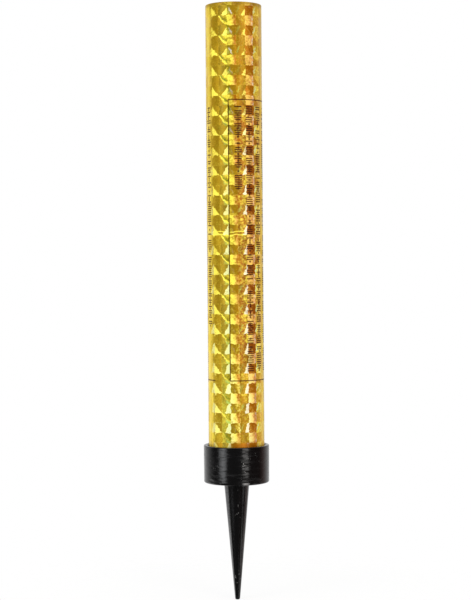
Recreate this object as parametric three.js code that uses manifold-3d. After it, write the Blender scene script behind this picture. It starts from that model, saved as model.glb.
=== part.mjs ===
// Cake fountain sparkler: a wound paper case in a foil wrap, loaded with a spark charge and
// pushed into a moulded black cup that ends in a spike.
// Millimetres, +Z up. The origin is the centre of the cup's underside, the face that comes
// down on the cake when the spike is pushed in, so the spike is below zero and the case above.

import * as THREE from "three";
import { mergeVertices } from "three/addons/utils/BufferGeometryUtils.js";
import Module from "manifold-3d";

// Wound paper case: one long sheet rolled on a mandrel
const CASE_LENGTH = 120;
const CASE_BORE_RADIUS = 5.65; // where the innermost ply starts
const PAPER_PLY = 0.16;
const PLY_COUNT = 8;
const SEAM_ANGLE = Math.PI / 2; // the sheet's edges lie at the back

// Foil wrap: a metallised film glued round the case with a lap
const FILM_THICKNESS = 0.08;
const FILM_CLEARANCE = 0.05;
const FILM_LAP = 5; // measured round the case
const FILM_BARE_FOOT = 1; // paper left bare at the hidden lower end

// Moulded cup that grips the foot of the case
const CUP_HEIGHT = 9.6;
const CUP_WALL = 0.95;
const CUP_TAPER = 0.04; // how much narrower the foot is than the rim, per side
const CUP_FLOOR = 1.5;
const CUP_FOOT_ROUND = 0.4;
const CUP_RIM_ROUND = 0.3;
const CUP_LEAD_IN = 0.3;
const CUP_INNER_ROUND = 0.3;
const SEAT_GAP = 0.1; // between the cup's floor and the case

// Grip ribs inside the cup
const RIB_COUNT = 6;
const RIB_HEIGHT = 0.15;
const RIB_WIDTH = 0.5;
const RIB_RAMP = 1.5;
const RIB_ROOT = 0.2; // buried in the wall and the floor
const RIB_FIT = 0.05; // between a rib and the wrap

// Spike, cored from inside the cup so that its wall is even
const SPIKE_LENGTH = 30.3;
const SPIKE_ROOT_RADIUS = 3.22;
const SPIKE_TIP_RADIUS = 0.65;
const SPIKE_TIP_FLAT = 0.2; // radius of the small flat on the end
const SPIKE_ROOT_FILLET = 0.5;
const SPIKE_WALL = 1.35;
const CORE_TIP_RADIUS = 0.75; // the core ends where the spike is too thin for more
const CORE_END_ROUND = 0.3;

// Load, listed from the foot of the case to its mouth
const LOAD_CLEARANCE = 0.08; // round every piece inside the case
const STACK_GAP = 0.1; // between one piece and the next
const PLUG_RECESS = 0.6;
const PLUG_LENGTH = 14;
const PLUG_CHAMFER = 0.5;
const DIVIDER_THICKNESS = 0.8;
const PRIME_LENGTH = 3;
const CHOKE_LENGTH = 8;
const MOUTH_DEPTH = 8; // empty case above the choke

// Choke ring
const CHOKE_THROAT_RADIUS = 2.2;
const CHOKE_LIP = 1; // flat ring left outside the flare
const CHOKE_FLARE_DEPTH = 3;
const CHOKE_ENTRY_CHAMFER = 0.6;

// Fuse and the tissue that wedges it in the choke
const FUSE_RADIUS = 1;
const FUSE_WALL = 0.35;
const FUSE_CORE_CLEARANCE = 0.06;
const FUSE_CORE_SHOWS = 0.7; // bare core past the jacket's upper end
const FUSE_SOCKET_DEPTH = 1.2;
const FUSE_SOCKET_CLEARANCE = 0.2;
const FUSE_BELOW_RIM = 1.4;
const FUSE_OFF_WALL = 0.5;
const FUSE_BEND_SHARE = 1 / 3; // of its rise, where the bend is sharpest
const FUSE_LEAN_ANGLE = Math.PI; // the side of the mouth that the fuse leans to
const WAD_ABOVE_ENTRY = 1.8; // from the choke's foot to the wad's
const WAD_CLEARANCE = 0.15;
const WAD_BULGE = 0.25;

// Facets
const ROUND_SEGMENTS = 72;
const CURVE_STEPS = 4;
const FUSE_SIDES = 10;
const FUSE_STEPS = 24;
const WELD = 1e-3;

const FULL_TURN = Math.PI * 2;

// Sizes that follow from the ones above
const caseWall = PAPER_PLY * PLY_COUNT;
const caseOuterStart = CASE_BORE_RADIUS + caseWall;
const caseFoot = CUP_FLOOR + SEAT_GAP;
const caseMouth = caseFoot + CASE_LENGTH;
const loadRadius = CASE_BORE_RADIUS - LOAD_CLEARANCE;

const lapAngle = FILM_LAP / caseOuterStart;
const filmStart = caseOuterStart + FILM_CLEARANCE;
const filmOuterRadius = rolledRadius(filmStart, FULL_TURN + lapAngle) + FILM_THICKNESS;

const ribTipRadius = filmOuterRadius + RIB_FIT;
const cupBoreRadius = ribTipRadius + RIB_HEIGHT;
const cupRimRadius = cupBoreRadius + CUP_WALL;
const spikeTaper = (SPIKE_ROOT_RADIUS - SPIKE_TIP_RADIUS) / SPIKE_LENGTH;
const coreFloor = (CORE_TIP_RADIUS + SPIKE_WALL - SPIKE_ROOT_RADIUS) / spikeTaper;

const plugFoot = caseFoot + PLUG_RECESS;
const dividerFoot = plugFoot + PLUG_LENGTH + STACK_GAP;
const chargeFoot = dividerFoot + DIVIDER_THICKNESS + STACK_GAP;
const chokeMouth = caseMouth - MOUTH_DEPTH;
const chokeFoot = chokeMouth - CHOKE_LENGTH;
const primeTop = chokeFoot - STACK_GAP;
const primeFoot = primeTop - PRIME_LENGTH;
const chargeTop = primeFoot - STACK_GAP;
const throatTop = chokeMouth - CHOKE_FLARE_DEPTH;
const wadTop = throatTop;
const wadFoot = chokeFoot + WAD_ABOVE_ENTRY;
const flareRadius = loadRadius - CHOKE_LIP;

const wasm = await Module();
wasm.setup();

// Radius of a rolled sheet that starts at the given radius, after turning through an angle.
// Every turn climbs by one ply, as the outside of the wound case does.
function rolledRadius(startRadius, angle) {
  return startRadius + (PAPER_PLY * angle) / FULL_TURN;
}

// Points along a rolled sheet's face, from the seam round to the given angle.
function rolledPoints(startRadius, turn) {
  const steps = Math.ceil((ROUND_SEGMENTS * turn) / FULL_TURN);
  return Array.from({ length: steps + 1 }, (_, i) => {
    const angle = Math.min((FULL_TURN * i) / ROUND_SEGMENTS, turn);
    const radius = rolledRadius(startRadius, angle);
    const place = SEAM_ANGLE + angle;
    return new THREE.Vector2(radius * Math.cos(place), radius * Math.sin(place));
  });
}

function extruded(shape, foot, length) {
  const geometry = new THREE.ExtrudeGeometry(shape, { depth: length, bevelEnabled: false });
  return geometry.translate(0, 0, foot);
}

// A path in radius and height, turned about Z.
function turned(profile) {
  const points = profile.getPoints(CURVE_STEPS);
  return new THREE.LatheGeometry(points, ROUND_SEGMENTS).rotateX(Math.PI / 2);
}

function solidOf(geometry) {
  const bare = geometry.clone();
  bare.deleteAttribute("normal");
  bare.deleteAttribute("uv");
  const merged = mergeVertices(bare, WELD);
  const mesh = new wasm.Mesh({
    numProp: 3,
    vertProperties: merged.attributes.position.array,
    triVerts: new Uint32Array(merged.index.array),
  });
  return new wasm.Manifold(mesh);
}

function geometryOf(solid) {
  const mesh = solid.getMesh();
  const geometry = new THREE.BufferGeometry();
  geometry.setAttribute("position", new THREE.BufferAttribute(mesh.vertProperties, 3));
  geometry.setIndex(new THREE.BufferAttribute(mesh.triVerts, 1));
  geometry.computeVertexNormals();
  return geometry;
}

function cupRadiusAt(height) {
  return cupRimRadius - CUP_TAPER * (1 - height / CUP_HEIGHT);
}

function spikeRadiusAt(height) {
  return SPIKE_ROOT_RADIUS + spikeTaper * height;
}

// Cup and spike in one moulding: tip, cone, shoulder, drafted wall, bore, floor and core.
function spikeBaseProfile() {
  const tip = -SPIKE_LENGTH;
  const tipShoulder = tip + SPIKE_TIP_RADIUS - SPIKE_TIP_FLAT;
  const footRadius = cupRadiusAt(0);
  const coreMouthRadius = spikeRadiusAt(0) - SPIKE_WALL;
  return new THREE.Path()
    .moveTo(0, tip)
    .lineTo(SPIKE_TIP_FLAT, tip)
    .quadraticCurveTo(SPIKE_TIP_RADIUS, tip, spikeRadiusAt(tipShoulder), tipShoulder)
    .lineTo(spikeRadiusAt(-SPIKE_ROOT_FILLET), -SPIKE_ROOT_FILLET)
    .quadraticCurveTo(SPIKE_ROOT_RADIUS, 0, SPIKE_ROOT_RADIUS + SPIKE_ROOT_FILLET, 0)
    .lineTo(footRadius - CUP_FOOT_ROUND, 0)
    .quadraticCurveTo(footRadius, 0, cupRadiusAt(CUP_FOOT_ROUND), CUP_FOOT_ROUND)
    .lineTo(cupRadiusAt(CUP_HEIGHT - CUP_RIM_ROUND), CUP_HEIGHT - CUP_RIM_ROUND)
    .quadraticCurveTo(cupRimRadius, CUP_HEIGHT, cupRimRadius - CUP_RIM_ROUND, CUP_HEIGHT)
    .lineTo(cupBoreRadius + CUP_LEAD_IN, CUP_HEIGHT)
    .lineTo(cupBoreRadius, CUP_HEIGHT - CUP_LEAD_IN)
    .lineTo(cupBoreRadius, CUP_FLOOR + CUP_INNER_ROUND)
    .quadraticCurveTo(cupBoreRadius, CUP_FLOOR, cupBoreRadius - CUP_INNER_ROUND, CUP_FLOOR)
    .lineTo(coreMouthRadius, CUP_FLOOR)
    .lineTo(CORE_TIP_RADIUS, coreFloor + CORE_END_ROUND)
    .quadraticCurveTo(CORE_TIP_RADIUS, coreFloor, CORE_TIP_RADIUS - CORE_END_ROUND, coreFloor)
    .lineTo(0, coreFloor);
}

// One grip rib: an upright fin with a ramp at its top that leads the case in.
function gripRib(angle) {
  const root = cupBoreRadius + RIB_ROOT;
  const foot = CUP_FLOOR - RIB_ROOT;
  const top = CUP_HEIGHT - CUP_LEAD_IN - RIB_ROOT;
  const fin = new THREE.Shape()
    .moveTo(ribTipRadius, foot)
    .lineTo(root, foot)
    .lineTo(root, top)
    .lineTo(cupBoreRadius, top)
    .lineTo(ribTipRadius, top - RIB_RAMP);
  const geometry = extruded(fin, -RIB_WIDTH / 2, RIB_WIDTH);
  return solidOf(geometry.rotateX(Math.PI / 2).rotateZ(angle));
}

function spikeBase() {
  let solid = solidOf(turned(spikeBaseProfile()));
  for (let i = 0; i < RIB_COUNT; i += 1) {
    solid = solid.add(gripRib((FULL_TURN * i) / RIB_COUNT));
  }
  return geometryOf(solid);
}

// The rolled case: both faces are one-turn spirals, each with the step of a ply's edge.
function caseTube() {
  const section = new THREE.Shape(rolledPoints(caseOuterStart, FULL_TURN));
  section.holes.push(new THREE.Path(rolledPoints(CASE_BORE_RADIUS, FULL_TURN)));
  return extruded(section, caseFoot, CASE_LENGTH);
}

// The film's own strip: once round the case and on over its own beginning by the lap.
function foilWrap() {
  const turn = FULL_TURN + lapAngle;
  const inner = rolledPoints(filmStart, turn);
  const outer = rolledPoints(filmStart + FILM_THICKNESS, turn);
  const strip = new THREE.Shape([...outer, ...inner.reverse()]);
  return extruded(strip, caseFoot + FILM_BARE_FOOT, CASE_LENGTH - FILM_BARE_FOOT);
}

function endPlug() {
  const top = plugFoot + PLUG_LENGTH;
  const profile = new THREE.Path()
    .moveTo(0, plugFoot)
    .lineTo(loadRadius - PLUG_CHAMFER, plugFoot)
    .lineTo(loadRadius, plugFoot + PLUG_CHAMFER)
    .lineTo(loadRadius, top)
    .lineTo(0, top);
  return turned(profile);
}

function plainDisc(foot, top) {
  const profile = new THREE.Path()
    .moveTo(0, foot)
    .lineTo(loadRadius, foot)
    .lineTo(loadRadius, top)
    .lineTo(0, top);
  return turned(profile);
}

// Prime pellet with a socket in its top that takes the fuse's lower end.
function primePellet() {
  const socketRadius = FUSE_RADIUS + FUSE_SOCKET_CLEARANCE;
  const socketFloor = primeTop - FUSE_SOCKET_DEPTH;
  const profile = new THREE.Path()
    .moveTo(0, primeFoot)
    .lineTo(loadRadius, primeFoot)
    .lineTo(loadRadius, primeTop)
    .lineTo(socketRadius, primeTop)
    .lineTo(socketRadius, socketFloor)
    .lineTo(0, socketFloor);
  return turned(profile);
}

// Choke ring: entry chamfer, straight throat and a conical flare into the mouth.
function chokeRing() {
  const profile = new THREE.Path()
    .moveTo(CHOKE_THROAT_RADIUS + CHOKE_ENTRY_CHAMFER, chokeFoot)
    .lineTo(loadRadius, chokeFoot)
    .lineTo(loadRadius, chokeMouth)
    .lineTo(flareRadius, chokeMouth)
    .lineTo(CHOKE_THROAT_RADIUS, throatTop)
    .lineTo(CHOKE_THROAT_RADIUS, chokeFoot + CHOKE_ENTRY_CHAMFER)
    .lineTo(CHOKE_THROAT_RADIUS + CHOKE_ENTRY_CHAMFER, chokeFoot);
  return turned(profile);
}

// Tissue rolled round the fuse and wedged in the throat, slightly swollen at mid-height.
function fuseWad() {
  const innerRadius = FUSE_RADIUS + WAD_CLEARANCE;
  const outerRadius = CHOKE_THROAT_RADIUS - WAD_CLEARANCE;
  const middle = (wadFoot + wadTop) / 2;
  const profile = new THREE.Path()
    .moveTo(innerRadius, wadFoot)
    .lineTo(outerRadius - WAD_BULGE, wadFoot)
    .quadraticCurveTo(outerRadius + WAD_BULGE, middle, outerRadius - WAD_BULGE, wadTop)
    .lineTo(innerRadius, wadTop)
    .lineTo(innerRadius, wadFoot);
  return turned(profile);
}

// The fuse's centre line: straight up from the prime's socket and through the wad, then
// over to the wall of the mouth. endLift carries on past the jacket's upper end.
function fusePath(endLift) {
  const socketFloor = primeTop - FUSE_SOCKET_DEPTH + STACK_GAP;
  const lean = CASE_BORE_RADIUS - FUSE_RADIUS - FUSE_OFF_WALL;
  const tipHeight = caseMouth - FUSE_BELOW_RIM - FUSE_RADIUS;
  const rise = tipHeight - wadTop;
  const along = (out, height) =>
    new THREE.Vector3(
      out * Math.cos(FUSE_LEAN_ANGLE),
      out * Math.sin(FUSE_LEAN_ANGLE),
      height,
    );
  const bend = new THREE.CurvePath();
  bend.add(new THREE.LineCurve3(along(0, socketFloor), along(0, wadTop)));
  bend.add(
    new THREE.CubicBezierCurve3(
      along(0, wadTop),
      along(0, wadTop + rise * FUSE_BEND_SHARE),
      along(lean, wadTop + rise * FUSE_BEND_SHARE),
      along(lean, tipHeight),
    ),
  );
  if (endLift > 0) {
    bend.add(new THREE.LineCurve3(along(lean, tipHeight), along(lean, tipHeight + endLift)));
  }
  return bend;
}

function ring(radius) {
  return Array.from({ length: FUSE_SIDES }, (_, i) => {
    const angle = (FULL_TURN * i) / FUSE_SIDES;
    return new THREE.Vector2(radius * Math.cos(angle), radius * Math.sin(angle));
  });
}

function alongFuse(section, endLift) {
  return new THREE.ExtrudeGeometry(section, {
    steps: FUSE_STEPS,
    bevelEnabled: false,
    extrudePath: fusePath(endLift),
  });
}

function fuseJacket() {
  const section = new THREE.Shape(ring(FUSE_RADIUS));
  section.holes.push(new THREE.Path(ring(FUSE_RADIUS - FUSE_WALL)));
  return alongFuse(section, 0);
}

function fuseCore() {
  const coreRadius = FUSE_RADIUS - FUSE_WALL - FUSE_CORE_CLEARANCE;
  return alongFuse(new THREE.Shape(ring(coreRadius)), FUSE_CORE_SHOWS);
}

function finish(color, roughness, metalness) {
  return new THREE.MeshStandardMaterial({ color, roughness, metalness });
}

const blackPlastic = finish(0x141414, 0.3, 0);
const goldFilm = finish(0xd9a521, 0.25, 0.85);
const kraftPaper = finish(0xb9a184, 0.9, 0);
const greyCard = finish(0xe4ddcc, 0.9, 0);
const pressedClay = finish(0xa89b8a, 0.85, 0);
const sparkMix = finish(0x77736c, 0.8, 0.1);
const primeMix = finish(0x33302d, 0.85, 0);
const tissue = finish(0xefe8da, 0.95, 0);
const greenThread = finish(0x5d7a4a, 0.85, 0);
const blackPowder = finish(0x1d1b1a, 0.9, 0);

function part(name, geometry, material) {
  const mesh = new THREE.Mesh(geometry, material);
  mesh.name = name;
  return mesh;
}

const load = new THREE.Group().add(
  part("end_plug", endPlug(), pressedClay),
  part("divider_disc", plainDisc(dividerFoot, dividerFoot + DIVIDER_THICKNESS), greyCard),
  part("spark_charge", plainDisc(chargeFoot, chargeTop), sparkMix),
  part("prime_pellet", primePellet(), primeMix),
  part("choke_ring", chokeRing(), pressedClay),
);

const fuse = new THREE.Group().add(
  part("fuse_wad", fuseWad(), tissue),
  part("fuse_jacket", fuseJacket(), greenThread),
  part("fuse_core", fuseCore(), blackPowder),
);

const tube = new THREE.Group().add(
  part("case_tube", caseTube(), kraftPaper),
  part("foil_wrap", foilWrap(), goldFilm),
  load,
  fuse,
);

const sparkler = new THREE.Group().add(part("spike_base", spikeBase(), blackPlastic), tube);

export default sparkler;
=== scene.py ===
"""Looks of a cake fountain sparkler, built around its packed construction frame.

The case of wound paper, its prismatic gold film, the moulded spike base, the choke and the
tucked-in fuse are modelled here in metres, in the same frame as the construction.
"""

import logging
import math
from collections.abc import Callable, Sequence
from dataclasses import dataclass, field
from enum import Enum
from typing import Any, Union

import bmesh
import bpy
from mathutils import Matrix, Vector, noise


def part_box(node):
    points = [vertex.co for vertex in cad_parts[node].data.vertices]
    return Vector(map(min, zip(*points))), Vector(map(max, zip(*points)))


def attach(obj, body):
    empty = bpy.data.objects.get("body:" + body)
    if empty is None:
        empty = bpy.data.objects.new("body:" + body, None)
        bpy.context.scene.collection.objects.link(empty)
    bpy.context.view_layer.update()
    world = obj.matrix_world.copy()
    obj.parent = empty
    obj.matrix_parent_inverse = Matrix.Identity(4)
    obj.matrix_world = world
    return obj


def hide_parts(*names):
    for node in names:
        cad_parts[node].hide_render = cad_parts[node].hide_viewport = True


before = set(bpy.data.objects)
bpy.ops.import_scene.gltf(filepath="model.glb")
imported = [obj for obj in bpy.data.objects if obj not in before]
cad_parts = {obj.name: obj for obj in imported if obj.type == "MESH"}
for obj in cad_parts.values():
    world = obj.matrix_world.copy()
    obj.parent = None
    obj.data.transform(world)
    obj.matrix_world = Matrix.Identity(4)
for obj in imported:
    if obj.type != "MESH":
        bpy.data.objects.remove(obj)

LOG = logging.getLogger("sparkler")

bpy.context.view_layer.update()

MM = 0.001
FULL_TURN = 2 * math.pi

Colour = tuple[float, float, float]
Number = Union[float, "Value"]
Point = tuple[float, float]
Spot = tuple[float, float, float]
Band = tuple[float, float, float, float]

MIRRORED: Spot = (-1.0, -1.0, -1.0)
ON_AXIS = 1e-9
PRESSED_CLAY: tuple[Colour, Colour] = ((0.47, 0.42, 0.35), (0.30, 0.255, 0.20))


class Body(Enum):
    """The two bodies that the slide joint parts."""

    BASE = "base"
    CASE = "case"


class Value:
    """A number socket that takes part in Python arithmetic, each sign adding a Math node."""

    def __init__(self, graph: "Graph", socket: bpy.types.NodeSocket) -> None:
        """Wraps one output socket of a graph.

        Args:
            graph: The graph that owns the socket.
            socket: A float output.
        """
        self.graph = graph
        self.socket = socket

    def __add__(self, other: Number) -> "Value":
        """Sum."""
        return self.graph.math("ADD", self, other)

    __radd__ = __add__

    def __sub__(self, other: Number) -> "Value":
        """Difference."""
        return self.graph.math("SUBTRACT", self, other)

    def __rsub__(self, other: Number) -> "Value":
        """Difference from a plain number."""
        return self.graph.math("SUBTRACT", other, self)

    def __mul__(self, other: Number) -> "Value":
        """Product."""
        return self.graph.math("MULTIPLY", self, other)

    __rmul__ = __mul__

    def __truediv__(self, other: Number) -> "Value":
        """Quotient."""
        return self.graph.math("DIVIDE", self, other)

    def __rtruediv__(self, other: Number) -> "Value":
        """Quotient of a plain number by this one."""
        return self.graph.math("DIVIDE", other, self)

    def __gt__(self, other: Number) -> "Value":
        """One where this is greater, zero elsewhere."""
        return self.graph.math("GREATER_THAN", self, other)

    def __lt__(self, other: Number) -> "Value":
        """One where this is less, zero elsewhere."""
        return self.graph.math("LESS_THAN", self, other)

    def __abs__(self) -> "Value":
        """Size without sign."""
        return self.graph.math("ABSOLUTE", self)

    def floor(self) -> "Value":
        """Whole part."""
        return self.graph.math("FLOOR", self)

    def fraction(self) -> "Value":
        """Part after the whole one."""
        return self.graph.math("FRACT", self)

    def sine(self) -> "Value":
        """Sine of an angle in radians."""
        return self.graph.math("SINE", self)

    def cosine(self) -> "Value":
        """Cosine of an angle in radians."""
        return self.graph.math("COSINE", self)

    def root(self) -> "Value":
        """Square root."""
        return self.graph.math("SQRT", self)

    def at_least(self, other: Number) -> "Value":
        """The greater of the two."""
        return self.graph.math("MAXIMUM", self, other)

    def at_most(self, other: Number) -> "Value":
        """The lesser of the two."""
        return self.graph.math("MINIMUM", self, other)

    def ease(self, low: float, high: float) -> "Value":
        """Smooth step from zero at low to one at high, or falling where low is greater.

        Args:
            low: Where the step starts.
            high: Where it ends.

        Returns:
            A number from zero to one.
        """
        settings = {"interpolation_type": "SMOOTHSTEP"}
        inputs = {"Value": self, "From Min": low, "From Max": high}
        return Value(self.graph, self.graph.node("ShaderNodeMapRange", settings, inputs).outputs[0])


class Graph:
    """A node tree with one way to add any node."""

    def __init__(self, tree: bpy.types.NodeTree) -> None:
        """Starts from an empty tree.

        Args:
            tree: The tree that the nodes go into.
        """
        self.tree = tree
        tree.nodes.clear()

    def node(
        self,
        kind: str,
        settings: dict[str, Any] | None = None,
        inputs: dict[str | int, Any] | None = None,
    ) -> bpy.types.Node:
        """Adds a node, sets what it is, then fills or links its sockets.

        Args:
            kind: The node's type.
            settings: Properties set before its sockets are read.
            inputs: Socket name or index to a number, colour, socket, node or Value.

        Returns:
            The new node.
        """
        made = self.tree.nodes.new(kind)
        for name, setting in (settings or {}).items():
            setattr(made, name, setting)
        for key, given in (inputs or {}).items():
            self.feed(made.inputs[key], given)
        return made

    def feed(self, socket: bpy.types.NodeSocket, given: Any) -> None:
        """Links or sets one input socket.

        Args:
            socket: The input.
            given: A Value, node, socket, number or colour.
        """
        if isinstance(given, Value):
            self.tree.links.new(given.socket, socket)
        elif isinstance(given, bpy.types.Node):
            self.tree.links.new(given.outputs[0], socket)
        elif isinstance(given, bpy.types.NodeSocket):
            self.tree.links.new(given, socket)
        elif isinstance(given, tuple) and socket.type == "RGBA":
            socket.default_value = (*given, 1.0)
        else:
            socket.default_value = given

    def math(self, operation: str, *terms: Number) -> Value:
        """One Math node.

        Args:
            operation: The node's operation.
            terms: Its one, two or three terms.

        Returns:
            The result.
        """
        inputs = dict(enumerate(terms))
        return Value(self, self.node("ShaderNodeMath", {"operation": operation}, inputs).outputs[0])

    def vector(self, operation: str, *terms: Any) -> bpy.types.NodeSocket:
        """One Vector Math node.

        Args:
            operation: The node's operation.
            terms: Vector terms.

        Returns:
            The vector result.
        """
        made = self.node("ShaderNodeVectorMath", {"operation": operation}, dict(enumerate(terms)))
        return made.outputs["Vector"]

    def scaled(self, vector: Any, factor: Number) -> bpy.types.NodeSocket:
        """A vector times a number."""
        settings = {"operation": "SCALE"}
        made = self.node("ShaderNodeVectorMath", settings, {"Vector": vector, "Scale": factor})
        return made.outputs["Vector"]

    def combined(self, x: Number, y: Number, z: Number) -> bpy.types.Node:
        """A vector from three numbers."""
        return self.node("ShaderNodeCombineXYZ", None, {"X": x, "Y": y, "Z": z})

    def parts(self, vector: Any) -> tuple[Value, Value, Value]:
        """The three numbers of a vector."""
        outputs = self.node("ShaderNodeSeparateXYZ", None, {"Vector": vector}).outputs
        return Value(self, outputs[0]), Value(self, outputs[1]), Value(self, outputs[2])

    def blend(self, share: Number, low: Any, high: Any) -> bpy.types.NodeSocket:
        """A colour mixed from two.

        Args:
            share: How much of the second.
            low: The first colour.
            high: The second colour.

        Returns:
            The mixed colour.
        """
        made = self.node("ShaderNodeMix", {"data_type": "RGBA"}, {0: share, 6: low, 7: high})
        return made.outputs[2]

    def speckle(self, vector: Any, scale: float, detail: float = 2.0) -> Value:
        """Noise from zero to one over a vector.

        Args:
            vector: Where it is read.
            scale: Its frequency.
            detail: How many finer layers are added.

        Returns:
            The noise.
        """
        inputs = {"Vector": vector, "Scale": scale, "Detail": detail}
        return Value(self, self.node("ShaderNodeTexNoise", None, inputs).outputs[0])

    def chance(self, x: Number, y: Number, z: Number = 0.0) -> Value:
        """A fixed random number from zero to one for each whole place."""
        inputs = {"Vector": self.combined(x, y, z)}
        return Value(self, self.node("ShaderNodeTexWhiteNoise", None, inputs).outputs[0])


class Surface(Graph):
    """The node tree of one material."""

    def __init__(self, name: str) -> None:
        """Makes an empty material.

        Args:
            name: The material's name.
        """
        self.material = bpy.data.materials.new(name)
        self.material.use_nodes = True
        super().__init__(self.material.node_tree)

    def place(self) -> bpy.types.NodeSocket:
        """Object coordinates."""
        return self.node("ShaderNodeTexCoord").outputs["Object"]

    def bump(self, height: Number, depth: float, normal: Any = None) -> bpy.types.Node:
        """A Bump node.

        Args:
            height: The relief, from zero to one.
            depth: How deep one is, in metres.
            normal: What it starts from, or nothing for the surface's own normal.

        Returns:
            The node, to feed a Normal socket.
        """
        inputs: dict[str | int, Any] = {"Strength": 1.0, "Distance": depth, "Height": height}
        if normal is not None:
            inputs["Normal"] = normal
        return self.node("ShaderNodeBump", None, inputs)

    def finish(self, **sockets: Any) -> bpy.types.Material:
        """Ends the material in a Principled shader.

        Args:
            sockets: Socket names, with underscores for blanks, to what feeds them.

        Returns:
            The finished material.
        """
        inputs = {name.replace("_", " "): given for name, given in sockets.items()}
        shader = self.node("ShaderNodeBsdfPrincipled", None, inputs)
        self.node("ShaderNodeOutputMaterial", None, {"Surface": shader})
        return self.material


class Shape(Graph):
    """A Geometry Nodes tree with named inputs, evaluated once into a plain mesh."""

    def __init__(self, name: str) -> None:
        """Makes an empty tree that gives out one geometry.

        Args:
            name: The tree's name.
        """
        self.group = bpy.data.node_groups.new(name, "GeometryNodeTree")
        super().__init__(self.group)
        kind = "NodeSocketGeometry"
        self.group.interface.new_socket("Geometry", in_out="OUTPUT", socket_type=kind)
        self.given = self.node("NodeGroupInput")
        self.values: dict[str, float] = {}

    def number(self, name: str, value: float) -> Value:
        """Adds a named number input.

        Args:
            name: The input's name.
            value: What the modifier sets it to.

        Returns:
            The input.
        """
        return self._input(name, value, "NodeSocketFloat")

    def whole(self, name: str, value: int) -> Value:
        """Adds a named whole-number input.

        Args:
            name: The input's name.
            value: What the modifier sets it to.

        Returns:
            The input.
        """
        return self._input(name, value, "NodeSocketInt")

    def _input(self, name: str, value: float, kind: str) -> Value:
        """Adds an input of one kind.

        Args:
            name: The input's name.
            value: What the modifier sets it to.
            kind: The socket's type.

        Returns:
            The input.
        """
        item = self.group.interface.new_socket(name, in_out="INPUT", socket_type=kind)
        self.values[item.identifier] = value
        return Value(self, self.given.outputs[name])

    def moved(self, geometry: Any, place: Any) -> bpy.types.Node:
        """Gives every point of a geometry a new place."""
        return self.node("GeometryNodeSetPosition", None, {"Geometry": geometry, "Position": place})

    def stored(self, geometry: Any, name: str, vector: Any) -> bpy.types.Node:
        """Keeps a vector on every point under a name."""
        settings = {"data_type": "FLOAT_VECTOR", "domain": "POINT"}
        inputs = {"Geometry": geometry, "Name": name, "Value": vector}
        return self.node("GeometryNodeStoreNamedAttribute", settings, inputs)

    def solid(self, name: str, geometry: Any, material: bpy.types.Material) -> bpy.types.Object:
        """Ends the tree, evaluates it and keeps the result as a plain mesh.

        Args:
            name: The new piece's name.
            geometry: What the tree has built.
            material: Its finish.

        Returns:
            The piece, linked to the scene.
        """
        real = self.node("GeometryNodeRealizeInstances", None, {"Geometry": geometry})
        painted = self.node(
            "GeometryNodeSetMaterial", None, {"Geometry": real, "Material": material}
        )
        self.node("NodeGroupOutput", None, {"Geometry": painted})
        maker = bpy.data.objects.new(name + "_maker", bpy.data.meshes.new(name + "_maker"))
        bpy.context.scene.collection.objects.link(maker)
        modifier = maker.modifiers.new("shape", "NODES")
        modifier.node_group = self.group
        for identifier, value in self.values.items():
            modifier[identifier] = value
        depsgraph = bpy.context.evaluated_depsgraph_get()
        mesh = bpy.data.meshes.new_from_object(maker.evaluated_get(depsgraph))
        bpy.data.objects.remove(maker)
        mesh.name = name
        return linked(name, mesh, material)


def linked(name: str, mesh: bpy.types.Mesh, material: bpy.types.Material) -> bpy.types.Object:
    """Links a mesh to the scene as one smooth piece with one material.

    Args:
        name: The piece's name.
        mesh: Its mesh.
        material: Its finish.

    Returns:
        The new object.
    """
    mesh.materials.clear()
    mesh.materials.append(material)
    mesh.polygons.foreach_set("use_smooth", [True] * len(mesh.polygons))
    made = bpy.data.objects.new(name, mesh)
    bpy.context.scene.collection.objects.link(made)
    return made


def creased(piece: bpy.types.Object, degrees: float) -> bpy.types.Object:
    """Keeps the edges that are sharper than an angle crisp.

    Args:
        piece: The piece.
        degrees: The angle.

    Returns:
        The same piece.
    """
    piece.data.set_sharp_from_angle(angle=math.radians(degrees))
    return piece


def thickened(piece: bpy.types.Object, thickness: float) -> bpy.types.Object:
    """Gives an open sheet its thickness, inwards from the face that is modelled.

    Args:
        piece: The sheet.
        thickness: In metres.

    Returns:
        The same piece.
    """
    wall = piece.modifiers.new("thickness", "SOLIDIFY")
    wall.thickness = thickness
    wall.offset = -1.0
    return piece


def settled(piece: bpy.types.Object, body: Body, slot: str, *nodes: str) -> None:
    """Puts a finished piece on its body in place of the construction's nodes.

    Args:
        piece: The piece.
        body: The body that carries it.
        slot: The record's material slot; not used.
        nodes: The nodes that it stands for.
    """
    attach(piece, body.value)
    if nodes:
        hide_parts(*nodes)
    faces = len(piece.data.polygons)
    LOG.info("%s rides on %s, %d faces, stands for %s", piece.name, body.value, faces, nodes)


def least_radius(node: str) -> float:
    """How near a node comes to the axis, in metres."""
    return min(vertex.co.xy.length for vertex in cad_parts[node].data.vertices)


def most_radius(node: str) -> float:
    """How far a node reaches from the axis, in metres."""
    return max(vertex.co.xy.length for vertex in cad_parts[node].data.vertices)


def foot_of(node: str) -> float:
    """Height of a node's lowest point, in metres."""
    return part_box(node)[0].z


def top_of(node: str) -> float:
    """Height of a node's highest point, in metres."""
    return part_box(node)[1].z


def facing(angle: Value, degrees: float) -> Value:
    """One at an angle and half a turn on, falling to minus one between them."""
    return ((angle - math.radians(degrees)) * 2.0).cosine()


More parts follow.
